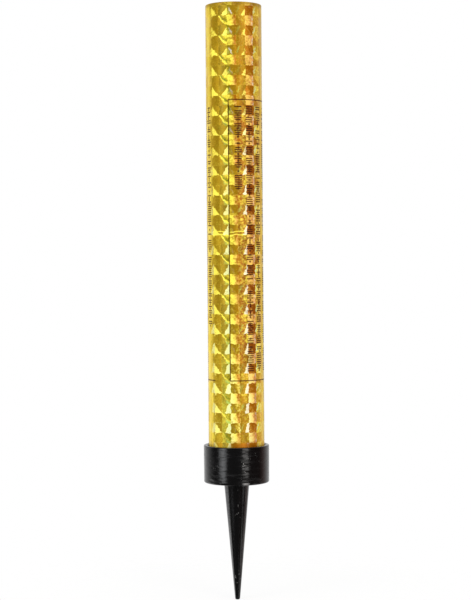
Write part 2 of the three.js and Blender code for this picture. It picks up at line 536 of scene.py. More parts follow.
def arc(centre: Point, radius: float, start: float, end: float, steps: int) -> list[Point]:
    """Points of a circular arc in a profile.

    Args:
        centre: Its centre, as radius and height.
        radius: Its radius.
        start: First angle, in degrees.
        end: Last angle, in degrees.
        steps: Number of chords.

    Returns:
        The points, both ends among them.
    """
    angles = [math.radians(start + (end - start) * i / steps) for i in range(steps + 1)]
    return [
        (centre[0] + radius * math.cos(angle), centre[1] + radius * math.sin(angle))
        for angle in angles
    ]


def divided(start: Point, end: Point, step: float) -> list[Point]:
    """Points between two ends of a straight stretch, the ends left out.

    Args:
        start: One end.
        end: The other.
        step: The longest chord.

    Returns:
        The points between.
    """
    count = max(1, math.ceil(math.dist(start, end) / step))
    return [
        (
            start[0] + (end[0] - start[0]) * i / count,
            start[1] + (end[1] - start[1]) * i / count,
        )
        for i in range(1, count)
    ]


def revolved(
    name: str,
    profile: Sequence[Point],
    sides: int,
    shift: Callable[[Vector], Vector] | None = None,
    closed: bool = False,
) -> bpy.types.Mesh:
    """Turns a profile about the axis into a closed mesh.

    Args:
        name: The mesh's name.
        profile: Radius and height of each point; both ends on the axis unless closed.
        sides: How many times round.
        shift: What moves each point a little, for an uneven surface.
        closed: Whether the last point joins the first.

    Returns:
        The mesh, with faces pointing outwards.
    """
    built = bmesh.new()
    rings = []
    for radius, height in profile:
        count = 1 if radius < ON_AXIS else sides
        ring = []
        for i in range(count):
            angle = FULL_TURN * i / sides
            spot = Vector((radius * math.cos(angle), radius * math.sin(angle), height))
            ring.append(built.verts.new(shift(spot) if shift else spot))
        rings.append(ring)
    pairs = list(zip(rings, rings[1:]))
    if closed:
        pairs.append((rings[-1], rings[0]))
    for below, above in pairs:
        for i in range(sides):
            corners = [
                below[i % len(below)],
                below[(i + 1) % len(below)],
                above[(i + 1) % len(above)],
                above[i % len(above)],
            ]
            different = list(dict.fromkeys(corners))
            if len(different) > 2:
                built.faces.new(different)
    bmesh.ops.recalc_face_normals(built, faces=built.faces)
    mesh = bpy.data.meshes.new(name)
    built.to_mesh(mesh)
    built.free()
    return mesh


@dataclass(frozen=True)
class BlackPlastic:
    """Glossy black moulded plastic with faint ripples, scuffs, a little dust, and a painted
    highlight on a short stretch of the cup's foot.
    """

    base: Colour = (0.0026, 0.0024, 0.0025)
    scuffed: Colour = (0.007, 0.0065, 0.007)
    dust_and_glint_colour: Colour = (0.30, 0.29, 0.28)
    roughness: float = 0.17
    scuffed_roughness: float = 0.34
    ripple_pitch: float = 0.95 * MM
    drift_scale: float = 190.0
    lump_scale: float = 330.0
    scuff_scale: float = 300.0
    grain_scale: float = 6200.0
    speck_scale: float = 2300.0
    scratch_scale: float = 1700.0
    glint_break_scale: float = 2600.0
    patch_scale: float = 210.0
    relief_depth: float = 0.03 * MM
    cup_spot: Spot = (2.0 * MM, -8.1 * MM, 4.8 * MM)
    root_spot: Spot = (0.5 * MM, -2.6 * MM, -7.0 * MM)
    tip_spot: Spot = (0.0, -1.2 * MM, -24.5 * MM)
    spot_reach: Point = (1.7 * MM, 0.5 * MM)
    cup_foot: Point = (-1.0 * MM, 0.0)
    lean_height: float = 2.4 * MM
    lean: float = 1.8
    bow_heights: Point = (-15.0 * MM, -3.0 * MM)
    spike_bow: float = 6.0
    # where the painted highlight on the cup's foot round lies
    glint_spot: Spot = (2.35 * MM, -8.05 * MM, 0.0)
    glint_reach: Point = (1.2 * MM, 0.3 * MM)
    glint_top: Point = (0.80 * MM, 0.48 * MM)
    glint_foot: Point = (0.1 * MM, 0.5 * MM)

    def build(self) -> bpy.types.Material:
        """Makes the material."""
        surface = Surface("moulded_black_plastic")
        place = surface.place()
        x, y, z = surface.parts(place)
        drift = surface.speckle(place, self.drift_scale)
        ripple = ((z / self.ripple_pitch + drift * 2.0) * FULL_TURN).sine() * 0.5 + 0.5
        lumps = surface.speckle(surface.combined(x, y, z * 3.0), self.lump_scale, 1.0)
        scuff = surface.speckle(surface.combined(x, y, z * 5.0), self.scuff_scale, 4.0)
        cup = z.ease(*self.cup_foot)
        scuff = scuff.ease(0.50, 0.74) * (cup * 0.85 + 0.15)
        grain = surface.speckle(place, self.grain_scale)
        # dust specks and a painted highlight on the cup's foot round both take the dust colour
        dust_and_glint = self._specks(surface, place).at_least(self._glint_and_scratches(surface, place, cup))
        relief = (ripple * drift * 0.2 + lumps * 1.9) * (cup * 0.8 + 0.2) + grain * 0.03
        relief = relief + z.ease(0.0, self.lean_height) * self.lean
        relief = relief - z.ease(*self.bow_heights) * self.spike_bow
        colour = surface.blend(scuff * 0.7, self.base, self.scuffed)
        colour = surface.blend(dust_and_glint, colour, self.dust_and_glint_colour)
        rougher = scuff * (self.scuffed_roughness - self.roughness)
        return surface.finish(
            Base_Color=colour,
            Roughness=self.roughness + rougher + dust_and_glint * 0.4,
            Specular_IOR_Level=0.5,
            Normal=surface.bump(relief, self.relief_depth),
        )

    def _specks(self, surface: Surface, place: bpy.types.NodeSocket) -> Value:
        """Sparse small specks of dust, thicker at three scuffed spots and in a few patches.

        Args:
            surface: The material's graph.
            place: Object coordinates.

        Returns:
            One on a speck, zero off it.
        """
        inputs = {"Vector": place, "Scale": self.speck_scale}
        cells = surface.node("ShaderNodeTexVoronoi", None, inputs)
        near = Value(surface, cells.outputs["Distance"]).ease(0.25, 0.14)
        draws = surface.node("ShaderNodeSeparateColor", None, {"Color": cells.outputs["Color"]})
        kept = Value(surface, draws.outputs[0]) > 0.6
        patch = surface.speckle(place, self.scuff_scale).ease(0.62, 0.68) * 0.6
        for centre in (self.cup_spot, self.root_spot, self.tip_spot):
            x, y, z = surface.parts(surface.vector("SUBTRACT", place, centre))
            spot = (x * x + y * y + z * z * 0.5).root()
            patch = patch.at_least(spot.ease(*self.spot_reach))
        return near * kept * patch

    def _glint_line(self, z: Value) -> Value:
        """One on the round of the cup's foot, where the painted highlight lies, zero above it."""
        return z.ease(*self.glint_top) * (z.ease(*self.glint_foot) * 0.75 + 0.25)

    def _glint_and_scratches(self, surface: Surface, place: bpy.types.NodeSocket, cup: Value) -> Value:
        """A painted highlight on a short stretch of the cup's foot round, and a few fine scratches
        on the spike.

        Args:
            surface: The material's graph.
            place: Object coordinates.
            cup: One on the cup, zero on the spike.

        Returns:
            How strong the painted highlight or the scratch is, from zero to one.
        """
        # painted highlight: a light line on the round of the cup's foot at the front right
        x, y, z = surface.parts(surface.vector("SUBTRACT", place, self.glint_spot))
        edge = (x * x + y * y).root().ease(*self.glint_reach)
        edge = edge * self._glint_line(z) * (surface.speckle(place, self.glint_break_scale) * 0.8 + 0.4)
        drawn = surface.combined(x, y, z * 0.22)
        scratch = surface.speckle(drawn, self.scratch_scale).ease(0.69, 0.76) * (1.0 - cup)
        patches = surface.speckle(place, self.patch_scale).ease(0.48, 0.60)
        return edge.at_least(scratch * patches * 0.5)


@dataclass(frozen=True)
class KraftPaper:
    """Brown kraft paper, fibrous and sooty in patches."""

    light: Colour = (0.56, 0.43, 0.28)
    dark: Colour = (0.36, 0.25, 0.145)
    soot: Colour = (0.20, 0.14, 0.09)
    fibre_scale: float = 2600.0
    mottle_scale: float = 420.0
    relief_depth: float = 0.03 * MM

    def build(self) -> bpy.types.Material:
        """Makes the material."""
        surface = Surface("wound_kraft_paper")
        place = surface.place()
        x, y, z = surface.parts(place)
        fibre = surface.speckle(surface.combined(x, y, z * 0.35), self.fibre_scale, 5.0)
        mottle = surface.speckle(place, self.mottle_scale, 3.0)
        colour = surface.blend(fibre * 0.6 + mottle * 0.4, self.dark, self.light)
        colour = surface.blend(mottle.ease(0.62, 0.78) * 0.5, colour, self.soot)
        return surface.finish(
            Base_Color=colour,
            Roughness=0.86 + fibre * 0.1,
            Specular_IOR_Level=0.3,
            Normal=surface.bump(fibre, self.relief_depth),
        )


@dataclass(frozen=True)
class MineralGrain:
    """Pressed or loose grain, such as clay, spark mixture or powder."""

    name: str
    light: Colour
    dark: Colour
    scale: float = 2400.0
    depth: float = 0.05 * MM
    roughness: float = 0.9
    sparkle: float = 0.0

    def build(self) -> bpy.types.Material:
        """Makes the material."""
        surface = Surface(self.name)
        place = surface.place()
        grain = surface.speckle(place, self.scale, 4.0)
        lump = surface.speckle(place, self.scale * 0.18, 3.0)
        glint = surface.speckle(place, self.scale * 2.1, 1.0).ease(0.68, 0.74) * self.sparkle
        colour = surface.blend(grain.ease(0.3, 0.7), self.dark, self.light)
        colour = surface.blend(lump.ease(0.55, 0.75) * 0.4, colour, self.dark)
        return surface.finish(
            Base_Color=colour,
            Roughness=self.roughness - glint * 0.5,
            Metallic=glint,
            Normal=surface.bump(grain * 0.7 + lump * 0.3, self.depth),
        )


@dataclass(frozen=True)
class SoftTissue:
    """Thin crumpled tissue."""

    light: Colour = (0.90, 0.86, 0.77)
    dark: Colour = (0.66, 0.60, 0.50)
    crumple_scale: float = 900.0
    fibre_scale: float = 5200.0
    relief_depth: float = 0.12 * MM

    def build(self) -> bpy.types.Material:
        """Makes the material."""
        surface = Surface("soft_tissue")
        place = surface.place()
        crumple = surface.speckle(place, self.crumple_scale, 5.0)
        fibre = surface.speckle(place, self.fibre_scale, 3.0)
        return surface.finish(
            Base_Color=surface.blend(crumple.ease(0.3, 0.65), self.dark, self.light),
            Roughness=0.93 + fibre * 0.05,
            Specular_IOR_Level=0.2,
            Normal=surface.bump(crumple * 0.7 + fibre * 0.3, self.relief_depth),
        )


@dataclass(frozen=True)
class LacqueredThread:
    """Green thread under a thin lacquer."""

    light: Colour = (0.20, 0.34, 0.13)
    dark: Colour = (0.06, 0.11, 0.04)
    fibre_scale: float = 7000.0
    stain_scale: float = 700.0
    relief_depth: float = 0.02 * MM

    def build(self) -> bpy.types.Material:
        """Makes the material."""
        surface = Surface("lacquered_thread")
        place = surface.place()
        fibre = surface.speckle(place, self.fibre_scale, 4.0)
        stain = surface.speckle(place, self.stain_scale)
        return surface.finish(
            Base_Color=surface.blend(fibre * 0.55 + stain * 0.45, self.dark, self.light),
            Roughness=0.5 + fibre * 0.3,
            Normal=surface.bump(fibre, self.relief_depth),
        )


@dataclass(frozen=True)
class Facet:
    """One facet of the film's repeat.

    Its flash is painted into the colour as a highlight that is brightest at one place round the
    case, and again half a turn on.
    """

    flash_degrees: float
    dull: float
    bright: float
    tilt_across: float
    tilt_along: float
    pale: float = 0.0
    fern: float = 0.0


@dataclass(frozen=True)
class FilmPoint:
    """A point of the film: its angle from the front, its height and its place laid flat."""

    surface: Surface
    angle: Value
    height: Value
    flat: bpy.types.Node

    def speckle(self, scale: float, detail: float = 2.0, stretch: Spot = (1.0, 1.0, 1.0)) -> Value:
        """Noise from zero to one over the film laid flat.

        Args:
            scale: Its frequency.
            detail: How many finer layers are added.
            stretch: What the place is multiplied by first; minus ones give noise of its own.

        Returns:
            The noise.
        """
        place = self.surface.vector("MULTIPLY", self.flat, stretch)
        return self.surface.speckle(place, scale, detail)

    def drift(self, scale: float, detail: float = 2.0, stretch: Spot = (1.0, 1.0, 1.0)) -> Value:
        """The same noise about zero, from minus a half to a half."""
        return self.speckle(scale, detail, stretch) - 0.5


@dataclass(frozen=True)
class Cell:
    """Where a point of the film lies in the repeat, and the angle that its facet feels."""

    inner_a: Value
    inner_b: Value
    right: Value
    low: Value
    half: Value
    half_row: Value
    felt: Value
    flash_range: Point

    def flash(self, degrees: float) -> Value:
        """How strongly the painted flash shows here of a facet that flashes most at an angle from
        the front.
        """
        return facing(self.felt, degrees).ease(*self.flash_range)

    def luck(self, draw: Number) -> Value:
        """A fixed random number from zero to one for each facet and draw."""
        return self.half.graph.chance(self.half, self.half_row, draw)

    def above_arc(self) -> Value:
        """How far a point lies above the arc that the streaks follow, as a share of the facet."""
        a = self.inner_a
        return (a - 0.14) * 0.98 + a * (1.0 - a) * 0.8 - self.inner_b

    def ruling(self, waves: float) -> Value:
        """Fine curved rulings about a facet's corner, so many waves to a facet's height."""
        a, b = self.inner_a, self.inner_b
        return ((a * a + b * b).root() * waves * FULL_TURN).sine()


@dataclass(frozen=True)
class Masks:
    """One on a group of facets and zero off it, and how near the cup a point is."""

    falling: Value
    rising: Value
    left: Value
    square: Value
    fold: Value
    below: Value
    beside: Value
    low: Value
    lower: Value


@dataclass(frozen=True)
class Mosaic:
    """What the repeat of facets gives at a point, with its painted highlights and shade."""

    tone: Value
    pale: Value
    edge: Value
    rusty: Value
    fern: Value
    cream: Value
    ember: Value
    mint: Value
    across: Value
    along: Value


@dataclass(frozen=True)
class PrismaticFilm:
    """Gold metallised film whose repeat of small flat facets breaks the light; the facets'
    brightness and hue round the case are painted reflections and highlights.
    """

    radius: float
    foot: float
    mouth: float
    repeat_round: float = 4.65 * MM
    repeat_along: float = 5.0 * MM
    first_column_degrees: float = -13.4
    first_row_height: float = 118.2 * MM
    skew: float = 0.003
    wobble: float = 0.85 * MM
    wobble_scale: float = 1250.0
    softness: float = 0.13
    flash_range: Point = (0.41, 0.813)
    flatness: float = 0.6
    calm_degrees: float = 94.5
    calm_range: Point = (0.32, 0.62)
    calm_tone: float = 0.62
    calm_right: float = -0.13
    calm_lower: float = 0.08
    calm_strength: float = 0.78
    calm_raggedness: float = 0.16
    side_degrees: float = 90.0
    side_range: Point = (0.84, 0.97)
    side_share: float = 0.75
    calm_warmth: float = 0.42
    warm_degrees: float = 33.6
    warm_wide: Point = (0.0, 0.8)
    warm_narrow: Point = (0.84, 0.98)
    warm_share: float = 0.34
    olive: Colour = (0.42, 0.245, 0.006)
    # painted shade colour, used near the streaks' angle round the case
    painted_shade: Colour = (0.25, 0.165, 0.003)
    ember: Colour = (0.33, 0.075, 0.002)
    mint: Colour = (0.76, 0.86, 0.45)
    rust: Colour = (0.46, 0.15, 0.001)
    lemon: Colour = (1.0, 0.84, 0.07)
    peach: Colour = (0.94, 0.54, 0.10)
    pale: Colour = (1.0, 0.95, 0.36)
    fern: Colour = (0.17, 0.20, 0.008)
    leaf: Colour = (0.50, 0.66, 0.12)
    pearl: Colour = (0.95, 0.90, 0.76)
    rosy: Colour = (0.80, 0.32, 0.11)
    umber: Colour = (0.33, 0.205, 0.012)
    ink: Colour = (0.16, 0.095, 0.07)
    metal: float = 0.45
    flash_matt: float = 0.7
    roughness: float = 0.36
    wrinkle_scale: float = 900.0
    grain_scale: float = 2300.0
    mottle_scale: float = 1500.0
    ragged_scale: float = 700.0
    crease_scale: float = 330.0
    warmth_scale: float = 420.0
    fleck_scale: float = 1150.0
    bend_scale: float = 1700.0
    broken_scale: float = 1350.0
    end_scale: float = 800.0
    band_stretch: Spot = (1.0, 0.05, 1.0)
    across_draw: float = 9.0
    along_draw: float = 17.0
    streak_draw: float = 31.0
    glint_draw: float = 47.0
    relief_depth: float = 0.04 * MM
    luck_tone: float = 0.34
    luck_tilt: float = 0.26
    streak_degrees: float = -24.0
    streak_width: float = 0.20
    deep_range: Point = (0.70, 0.95)
    deep_share: float = 0.35
    grain_tone: float = 0.8
    busy_degrees: float = 16.0
    busy_grain: float = 0.85
    plain_grain: float = 0.55
    front_degrees: float = -4.0
    left_degrees: float = -44.0
    minty_degrees: float = -34.0
    leaning_degrees: float = -30.0
    creamy_degrees: float = 12.0
    lifted_degrees: Point = (15.0, 54.0)
    outer_degrees: float = 60.0
    green_degrees: Point = (38.0, 62.0)
    pearly_degrees: float = -2.0
    foot_band_degrees: float = 20.0
    # low_glow and low_pale paint the facets brighter and paler towards the cup, over glow_heights:
    # painted light
    low_glow: float = 0.28
    low_pale: float = 0.34
    low_fern: float = 0.4
    cream: float = 0.75
    ember_share: float = 0.85
    mint_share: float = 0.7
    glow_heights: Point = (52.0 * MM, 16.0 * MM)
    cream_heights: Point = (100.0 * MM, 76.0 * MM)
    pearl_heights: Point = (80.0 * MM, 97.0 * MM)
    mint_heights: Point = (84.0 * MM, 56.0 * MM)
    under_heights: Point = (108.0 * MM, 92.0 * MM)
    ember_heights: Band = (100.0 * MM, 90.0 * MM, 24.0 * MM, 36.0 * MM)
    foot_band: Band = (1.7 * MM, 0.6 * MM, -1.6 * MM, -0.3 * MM)
    mouth_band: Point = (-1.3 * MM, -0.4 * MM)
    end_unevenness: float = 0.5 * MM
    ruling_pitch: float = 0.55 * MM
    ruling_tone: float = 0.04
    crease_height: float = 63.6 * MM
    crease_drift: float = 1.3 * MM
    crease_apart: float = 0.42 * MM
    crease_line: Point = (0.26 * MM, 0.05 * MM)
    crease_reach: Point = (-54.0, 26.0)
    crease_tone: float = 0.65
    square: Facet = Facet(15.0, 0.08, 0.80, 0.03, 0.03, 0.06)
    step_left: Facet = Facet(-46.0, 0.17, 1.0, -0.07, -0.05, 0.08)
    slope_left: Facet = Facet(-82.0, 0.03, 0.30, 0.03, 0.03)
    step_right: Facet = Facet(-4.0, 0.44, 1.0, 0.07, -0.05, 0.2)
    slope_right: Facet = Facet(62.0, 0.05, 0.50, 0.0, 0.03, 0.05, 0.12)
    fold_low: Facet = Facet(70.0, 0.08, 0.25, 0.0, 0.02)
    fold_high: Facet = Facet(70.0, 0.20, 0.40, 0.03, -0.03)
    step_cut: Point = (0.36, 0.54)
    step_cut_degrees: float = 16.0
    square_fade: float = 0.8

    def build(self) -> bpy.types.Material:
        """Makes the material."""
        surface = Surface("prismatic_gold_film")
        unrolled = surface.node("ShaderNodeAttribute", {"attribute_name": "unrolled"})
        turned, height, _ = surface.parts(unrolled.outputs["Vector"])
        angle = turned - math.pi
        flat = surface.combined(angle * self.radius, height, 0.0)
        point = FilmPoint(surface, angle, height, flat)
        cell = self._cell(point)
        masks = self._masks(point, cell)
        mosaic = self._mosaic(point, cell, masks)
        crease = self._crease(point)
        calm = self._calm(point)
        # painted reflection: towards the sides the facets are painted as an even smooth gold
        tone = self._calmed(point, mosaic.tone, calm * self.calm_strength)
        tone = tone + calm * masks.lower * self.calm_lower
        # painted highlight: the crease is painted brighter along its line, besides its bump
        tone = (tone + crease * self.crease_tone).at_most(1.0)
        colour = self._colour(point, tone, mosaic, calm)
        colour = self._glints(point, cell, masks, colour)
        colour = self._ends(point, colour)
        printed = PrintedPanel(self.radius).ink(point)
        inked = surface.vector("MULTIPLY", colour, self.ink)
        matt = (1.0 - tone.at_least(0.0) * self.flash_matt) * (1.0 - printed * 0.8)
        wrinkle = point.speckle(self.wrinkle_scale, stretch=(1.0, 0.5, 1.0))
        relief = wrinkle * 0.6 + crease * 0.4
        normal = self._tilted(surface, mosaic.across, mosaic.along)
        return surface.finish(
            Base_Color=surface.blend(printed, colour, inked),
            Metallic=matt * self.metal,
            Roughness=self.roughness + printed * 0.25,
            Specular_IOR_Level=0.1,
            Coat_Weight=0.08,
            Coat_Roughness=0.12,
            Normal=surface.bump(relief, self.relief_depth, normal),
        )

    def _cell(self, point: FilmPoint) -> Cell:
        """Finds a point's place in the repeat, whose edges waver a little.

        Args:
            point: A point of the film.

        Returns:
            The place in the cell, the cell's number and the angle that its facet feels.
        """
        start = math.radians(self.first_column_degrees)
        waver = point.drift(self.wobble_scale)
        nudge = point.drift(self.wobble_scale, stretch=MIRRORED)
        drop = self.first_row_height - point.height + nudge * self.wobble
        along = (point.angle - start) * self.radius + waver * self.wobble
        column = (along - drop * self.skew) / self.repeat_round
        row = drop / self.repeat_along
        half = (column * 2.0).floor()
        middle = (half + 0.5) * (self.repeat_round / 2 / self.radius) + start
        return Cell(
            inner_a=(column * 2.0).fraction(),
            inner_b=(row * 2.0).fraction(),
            right=self._second_half(column),
            low=self._second_half(row),
            half=half,
            half_row=(row * 2.0).floor(),
            felt=middle * self.flatness + point.angle * (1.0 - self.flatness),
            flash_range=self.flash_range,
        )

    @staticmethod
    def _second_half(share: Value) -> Value:
        """One in the second half of each whole step, with soft ends."""
        return ((share - 0.75) * FULL_TURN).cosine().ease(-0.1, 0.1)

    def _masks(self, point: FilmPoint, cell: Cell) -> Masks:
        """Finds which facets a point lies on.

        Args:
            point: A point of the film.
            cell: Its place in the repeat.

        Returns:
            The masks.
        """
        a, b = cell.inner_a, cell.inner_b
        low = point.height.ease(*self.glow_heights)
        lower = point.height.ease(*self.cream_heights)
        cut_low, cut_high = self.step_cut
        cut = cell.flash(self.step_cut_degrees) * (cut_high - cut_low) + cut_low
        rising = (b - 1.0) * (1.3 - (lower * 0.4 + low * 0.3)) + (a - cut) / (1.0 - cut)
        left, high = 1.0 - cell.right, 1.0 - cell.low
        return Masks(
            falling=(b - a - 0.05).ease(-self.softness, self.softness),
            rising=rising.ease(-self.softness, self.softness),
            left=left,
            square=left * high,
            fold=cell.right * high,
            below=left * cell.low,
            beside=cell.right * cell.low,
            low=low,
            lower=lower,
        )

    def _mosaic(self, point: FilmPoint, cell: Cell, masks: Masks) -> Mosaic:
        """Works out how the facet that a point is on shows, as painted highlight and shade.

        Args:
            point: A point of the film.
            cell: Its place in the repeat.
            masks: Which facets it lies on.

        Returns:
            Brightness, how pale its flash is, where its edge glows orange, how rusty and how
            green its shade is, how creamy its flash is, how dark red its shade is, how minty
            its flash is, and the facet's tilt across and along the case.
        """
        a, b = cell.inner_a, cell.inner_b
        low, square, fold = masks.low, masks.square, masks.fold
        tone, pale, fern, across, along = self._summed(cell, masks)
        tone = self._lifted(cell, masks, tone)
        streak, shade = self._streak(cell, masks)
        rulings = cell.ruling(self.repeat_along / 2 / self.ruling_pitch) * self.ruling_tone
        luck = cell.luck((masks.falling > 0.5) + (masks.rising > 0.5) * 2.0) - 0.5
        spread = luck * self.luck_tone * 2.0
        # painted light: the facets are painted brighter towards the cup by low_glow
        tone = tone * (1.0 + low * self.low_glow + spread) + luck * 0.04 + streak + rulings
        creamy = cell.flash(self.creamy_degrees) * 0.8 + 0.2
        lean_left = cell.flash(self.leaning_degrees) * low * cell.right
        greener = lean_left * (1.0 - fold * (a - b * 0.5 + 0.3).ease(0.0, 0.8)) * 0.28
        faded = (1.0 - square * (a * 1.6 - b * 0.4)).at_least(0.0)
        outer = (fold + masks.beside * (1.0 - low) * 0.5) * cell.flash(self.outer_degrees)
        stepped = masks.beside * masks.rising
        minty = cell.flash(self.minty_degrees) * point.height.ease(*self.mint_heights)
        hot = self._between(point.height, *self.ember_heights) * cell.flash(self.warm_degrees)
        return Mosaic(
            tone=tone + self._grain(point, cell) * (tone * 0.7 + 0.5) + greener,
            pale=pale + low * (square * 0.3 + masks.left * self.low_pale) * faded,
            edge=square * a.ease(0.20, 1.0) * cell.flash(self.front_degrees) * 0.9 + outer * 0.35,
            rusty=facing(cell.felt, self.warm_degrees).ease(*self.warm_narrow),
            fern=fern + shade + lean_left * self.low_fern,
            cream=stepped * masks.lower * self.cream * creamy,
            ember=hot * self.ember_share,
            mint=stepped * minty * self.mint_share,
            across=across + (cell.luck(self.across_draw) - 0.5) * self.luck_tilt,
            along=along + (cell.luck(self.along_draw) - 0.5) * self.luck_tilt,
        )

    def _summed(self, cell: Cell, masks: Masks) -> tuple[Value, Value, Value, Value, Value]:
        """Adds up what the facets give, each by how far a point lies on it.

        Args:
            cell: The point's place in the repeat.
            masks: Which facets it lies on.

        Returns:
            Brightness, paleness, greenness, and the tilt across and along the case.
        """
        shares = (
            (self.square, masks.square),
            (self.step_left, masks.below * masks.falling),
            (self.slope_left, masks.below * (1.0 - masks.falling)),
            (self.step_right, masks.beside * masks.rising),
            (self.slope_right, masks.beside * (1.0 - masks.rising)),
            (self.fold_low, masks.fold * masks.falling),
            (self.fold_high, masks.fold * (1.0 - masks.falling)),
        )
        tone = pale = fern = across = along = masks.square * 0.0
        for facet, share in shares:
            # painted highlight: each facet runs from dull to bright by how strongly it would flash
            # at its place round the case
            flash = cell.flash(facet.flash_degrees)
            tone = share * (facet.dull + flash * (facet.bright - facet.dull)) + tone
            pale = share * facet.pale + pale
            fern = share * facet.fern + fern
            across = share * facet.tilt_across + across
            along = share * facet.tilt_along + along
        return tone, pale, fern, across, along

    def _lifted(self, cell: Cell, masks: Masks, tone: Value) -> Value:
        """Fades the squares to one side and lifts some facets by where on the case they are, as
        painted highlight and shade.

        Args:
            cell: The point's place in the repeat.
            masks: Which facets it lies on.
            tone: Brightness of the facets.

        Returns:
            Brightness.
        """
        a, b = cell.inner_a, cell.inner_b
        low, lower, square = masks.low, masks.lower, masks.square
        near_front = cell.flash(self.front_degrees)
        reddest = cell.flash(self.warm_degrees)
        fade = self.square_fade * (1.0 - reddest * (1.0 - low) * 0.7)
        tone = tone * (1.0 - square * (a - b * 0.3).ease(0.18, 0.88) * fade)
        tone = tone + square * lower * (reddest * 0.06 + near_front * a * 0.16)
        inner, outer = (cell.flash(degrees) for degrees in self.lifted_degrees)
        midway = lower * (1.0 - low * 0.85)
        tone = tone + cell.right * midway * (inner * (a * 0.20 + 0.11) + outer * 0.10)
        tone = tone + masks.left * lower * cell.flash(self.left_degrees) * 0.07
        tone = tone + square * (a + b).ease(0.36, 0.2) * 0.4
        slope = masks.below * (1.0 - masks.falling) * near_front
        return tone + slope * a.ease(0.3, 0.9) * low * 0.4

    def _grain(self, point: FilmPoint, cell: Cell) -> Value:
        """Fine unevenness of the facets, coarser and stronger where they flash most.

        Args:
            point: A point of the film.
            cell: Its place in the repeat.

        Returns:
            A change of brightness about zero.
        """
        fine = point.drift(self.grain_scale, 3.0) * self.grain_tone
        coarse = point.drift(self.mottle_scale, 1.0, MIRRORED)
        busy = cell.flash(self.busy_degrees) * self.busy_grain
        return fine + coarse * (busy + self.plain_grain)

    @staticmethod
    def _between(height: Value, top: float, full: float, foot: float, risen: float) -> Value:
        """One between two heights, with soft ends."""
        return height.ease(top, full) * height.ease(foot, risen)

    def _streak(self, cell: Cell, masks: Masks) -> tuple[Value, Value]:
        """The painted highlights of a fold, a curved bright streak across it and a pale corner, and
        the green line above the streak.

        Args:
            cell: The point's place in the repeat.
            masks: Which facets it lies on.

        Returns:
            What it adds to the brightness, and how green the shade beside it is.
        """
        above = cell.above_arc()
        low = masks.low
        shows = masks.fold * (1.0 - low * 0.4) * cell.flash(self.streak_degrees)
        luck = cell.luck(self.streak_draw)
        streak = abs(above).ease(self.streak_width, 0.03) * (luck * 0.45 + 0.40) * (1.0 - low * 0.4)
        corner = above.ease(0.30, 0.62) * (0.55 - luck * 0.3) * (1.0 - low)
        shade = above.ease(0.06, 0.15) * above.ease(0.46, 0.24) * (1.2 - luck * 0.7)
        return shows * (streak + corner), shows * shade

    def _calm(self, point: FilmPoint) -> Value:
        """One in the bands beside each side, where the painted reflection of the facets evens out
        to smooth gold, less at the side itself.
        """
        side = facing(point.angle, self.side_degrees).ease(*self.side_range) * self.side_share
        ragged = point.angle + point.drift(self.ragged_scale) * self.calm_raggedness
        return facing(ragged, self.calm_degrees).ease(*self.calm_range) * (1.0 - side)

    def _calmed(self, point: FilmPoint, tone: Value, calm: Value) -> Value:
        """Evens the painted facets out towards the sides, where only fine upright bands are left,
        as painted reflection.

        Args:
            point: A point of the film.
            tone: Brightness of the facets.
            calm: How far they are evened out.

        Returns:
            Brightness.
        """
        bands = point.drift(self.mottle_scale, 1.0, self.band_stretch)
        even = bands * 0.75 + self.calm_tone + (point.angle > 0.0) * self.calm_right
        return tone * (1.0 - calm) + even * calm

    def _crease(self, point: FilmPoint) -> Value:
        """A fine double crease part of the way round, one on it and zero off it."""
        height = point.height + point.drift(self.crease_scale) * self.crease_drift
        off = abs(abs(height - self.crease_height) - self.crease_apart)
        low, high = (math.radians(reach) for reach in self.crease_reach)
        within = point.angle.ease(low, low + 0.1) * point.angle.ease(high, high - 0.1)
        return off.ease(*self.crease_line) * within

    def _colour(
        self, point: FilmPoint, tone: Value, mosaic: Mosaic, calm: Value
    ) -> bpy.types.NodeSocket:
        """Colours the film from its brightness and from where round the case it is.

        Args:
            point: A point of the film.
            tone: Brightness.
            mosaic: What the repeat of facets gives there.
            calm: How far the facets are evened out.

        Returns:
            The film's colour.
        """
        surface = point.surface
        wide = facing(point.angle, self.warm_degrees).ease(*self.warm_wide)
        warm = wide * self.warm_share + mosaic.rusty * (1.0 - self.warm_share)
        warm = warm + calm * self.calm_warmth + mosaic.edge + point.drift(self.warmth_scale) * 0.6
        warm = warm.at_least(0.0).at_most(1.0)
        # painted shade: the facets' shade colour is painted darker round the case near the streaks'
        # angle
        painted_shade = facing(point.angle, self.streak_degrees).ease(*self.deep_range)
        shade = surface.blend(warm, self.olive, self.rust)
        shade = surface.blend(painted_shade * self.deep_share, shade, self.painted_shade)
        shade = surface.blend(mosaic.ember, shade, self.ember)
        shade = surface.blend(mosaic.fern, shade, self.fern)
        pale = mosaic.pale * tone.ease(0.25, 0.8) * (1.0 - calm)
        flash = surface.blend(warm * warm * 0.9, self.lemon, self.peach)
        flash = surface.blend(pale.at_most(1.0), flash, self.pale)
        flash = surface.blend(mosaic.cream, flash, self.pearl)
        flash = surface.blend(mosaic.mint, flash, self.mint)
        blush = point.speckle(self.mottle_scale).ease(0.58, 0.70) * (warm * warm * 0.5 + 0.04)
        fleck = point.speckle(self.fleck_scale, 3.0).ease(0.60, 0.72) * (0.42 - warm * 0.3)
        colour = surface.blend(tone.ease(0.0, 1.0), shade, flash)
        colour = surface.blend(blush, colour, self.rosy)
        return surface.blend(fleck, colour, self.fern)

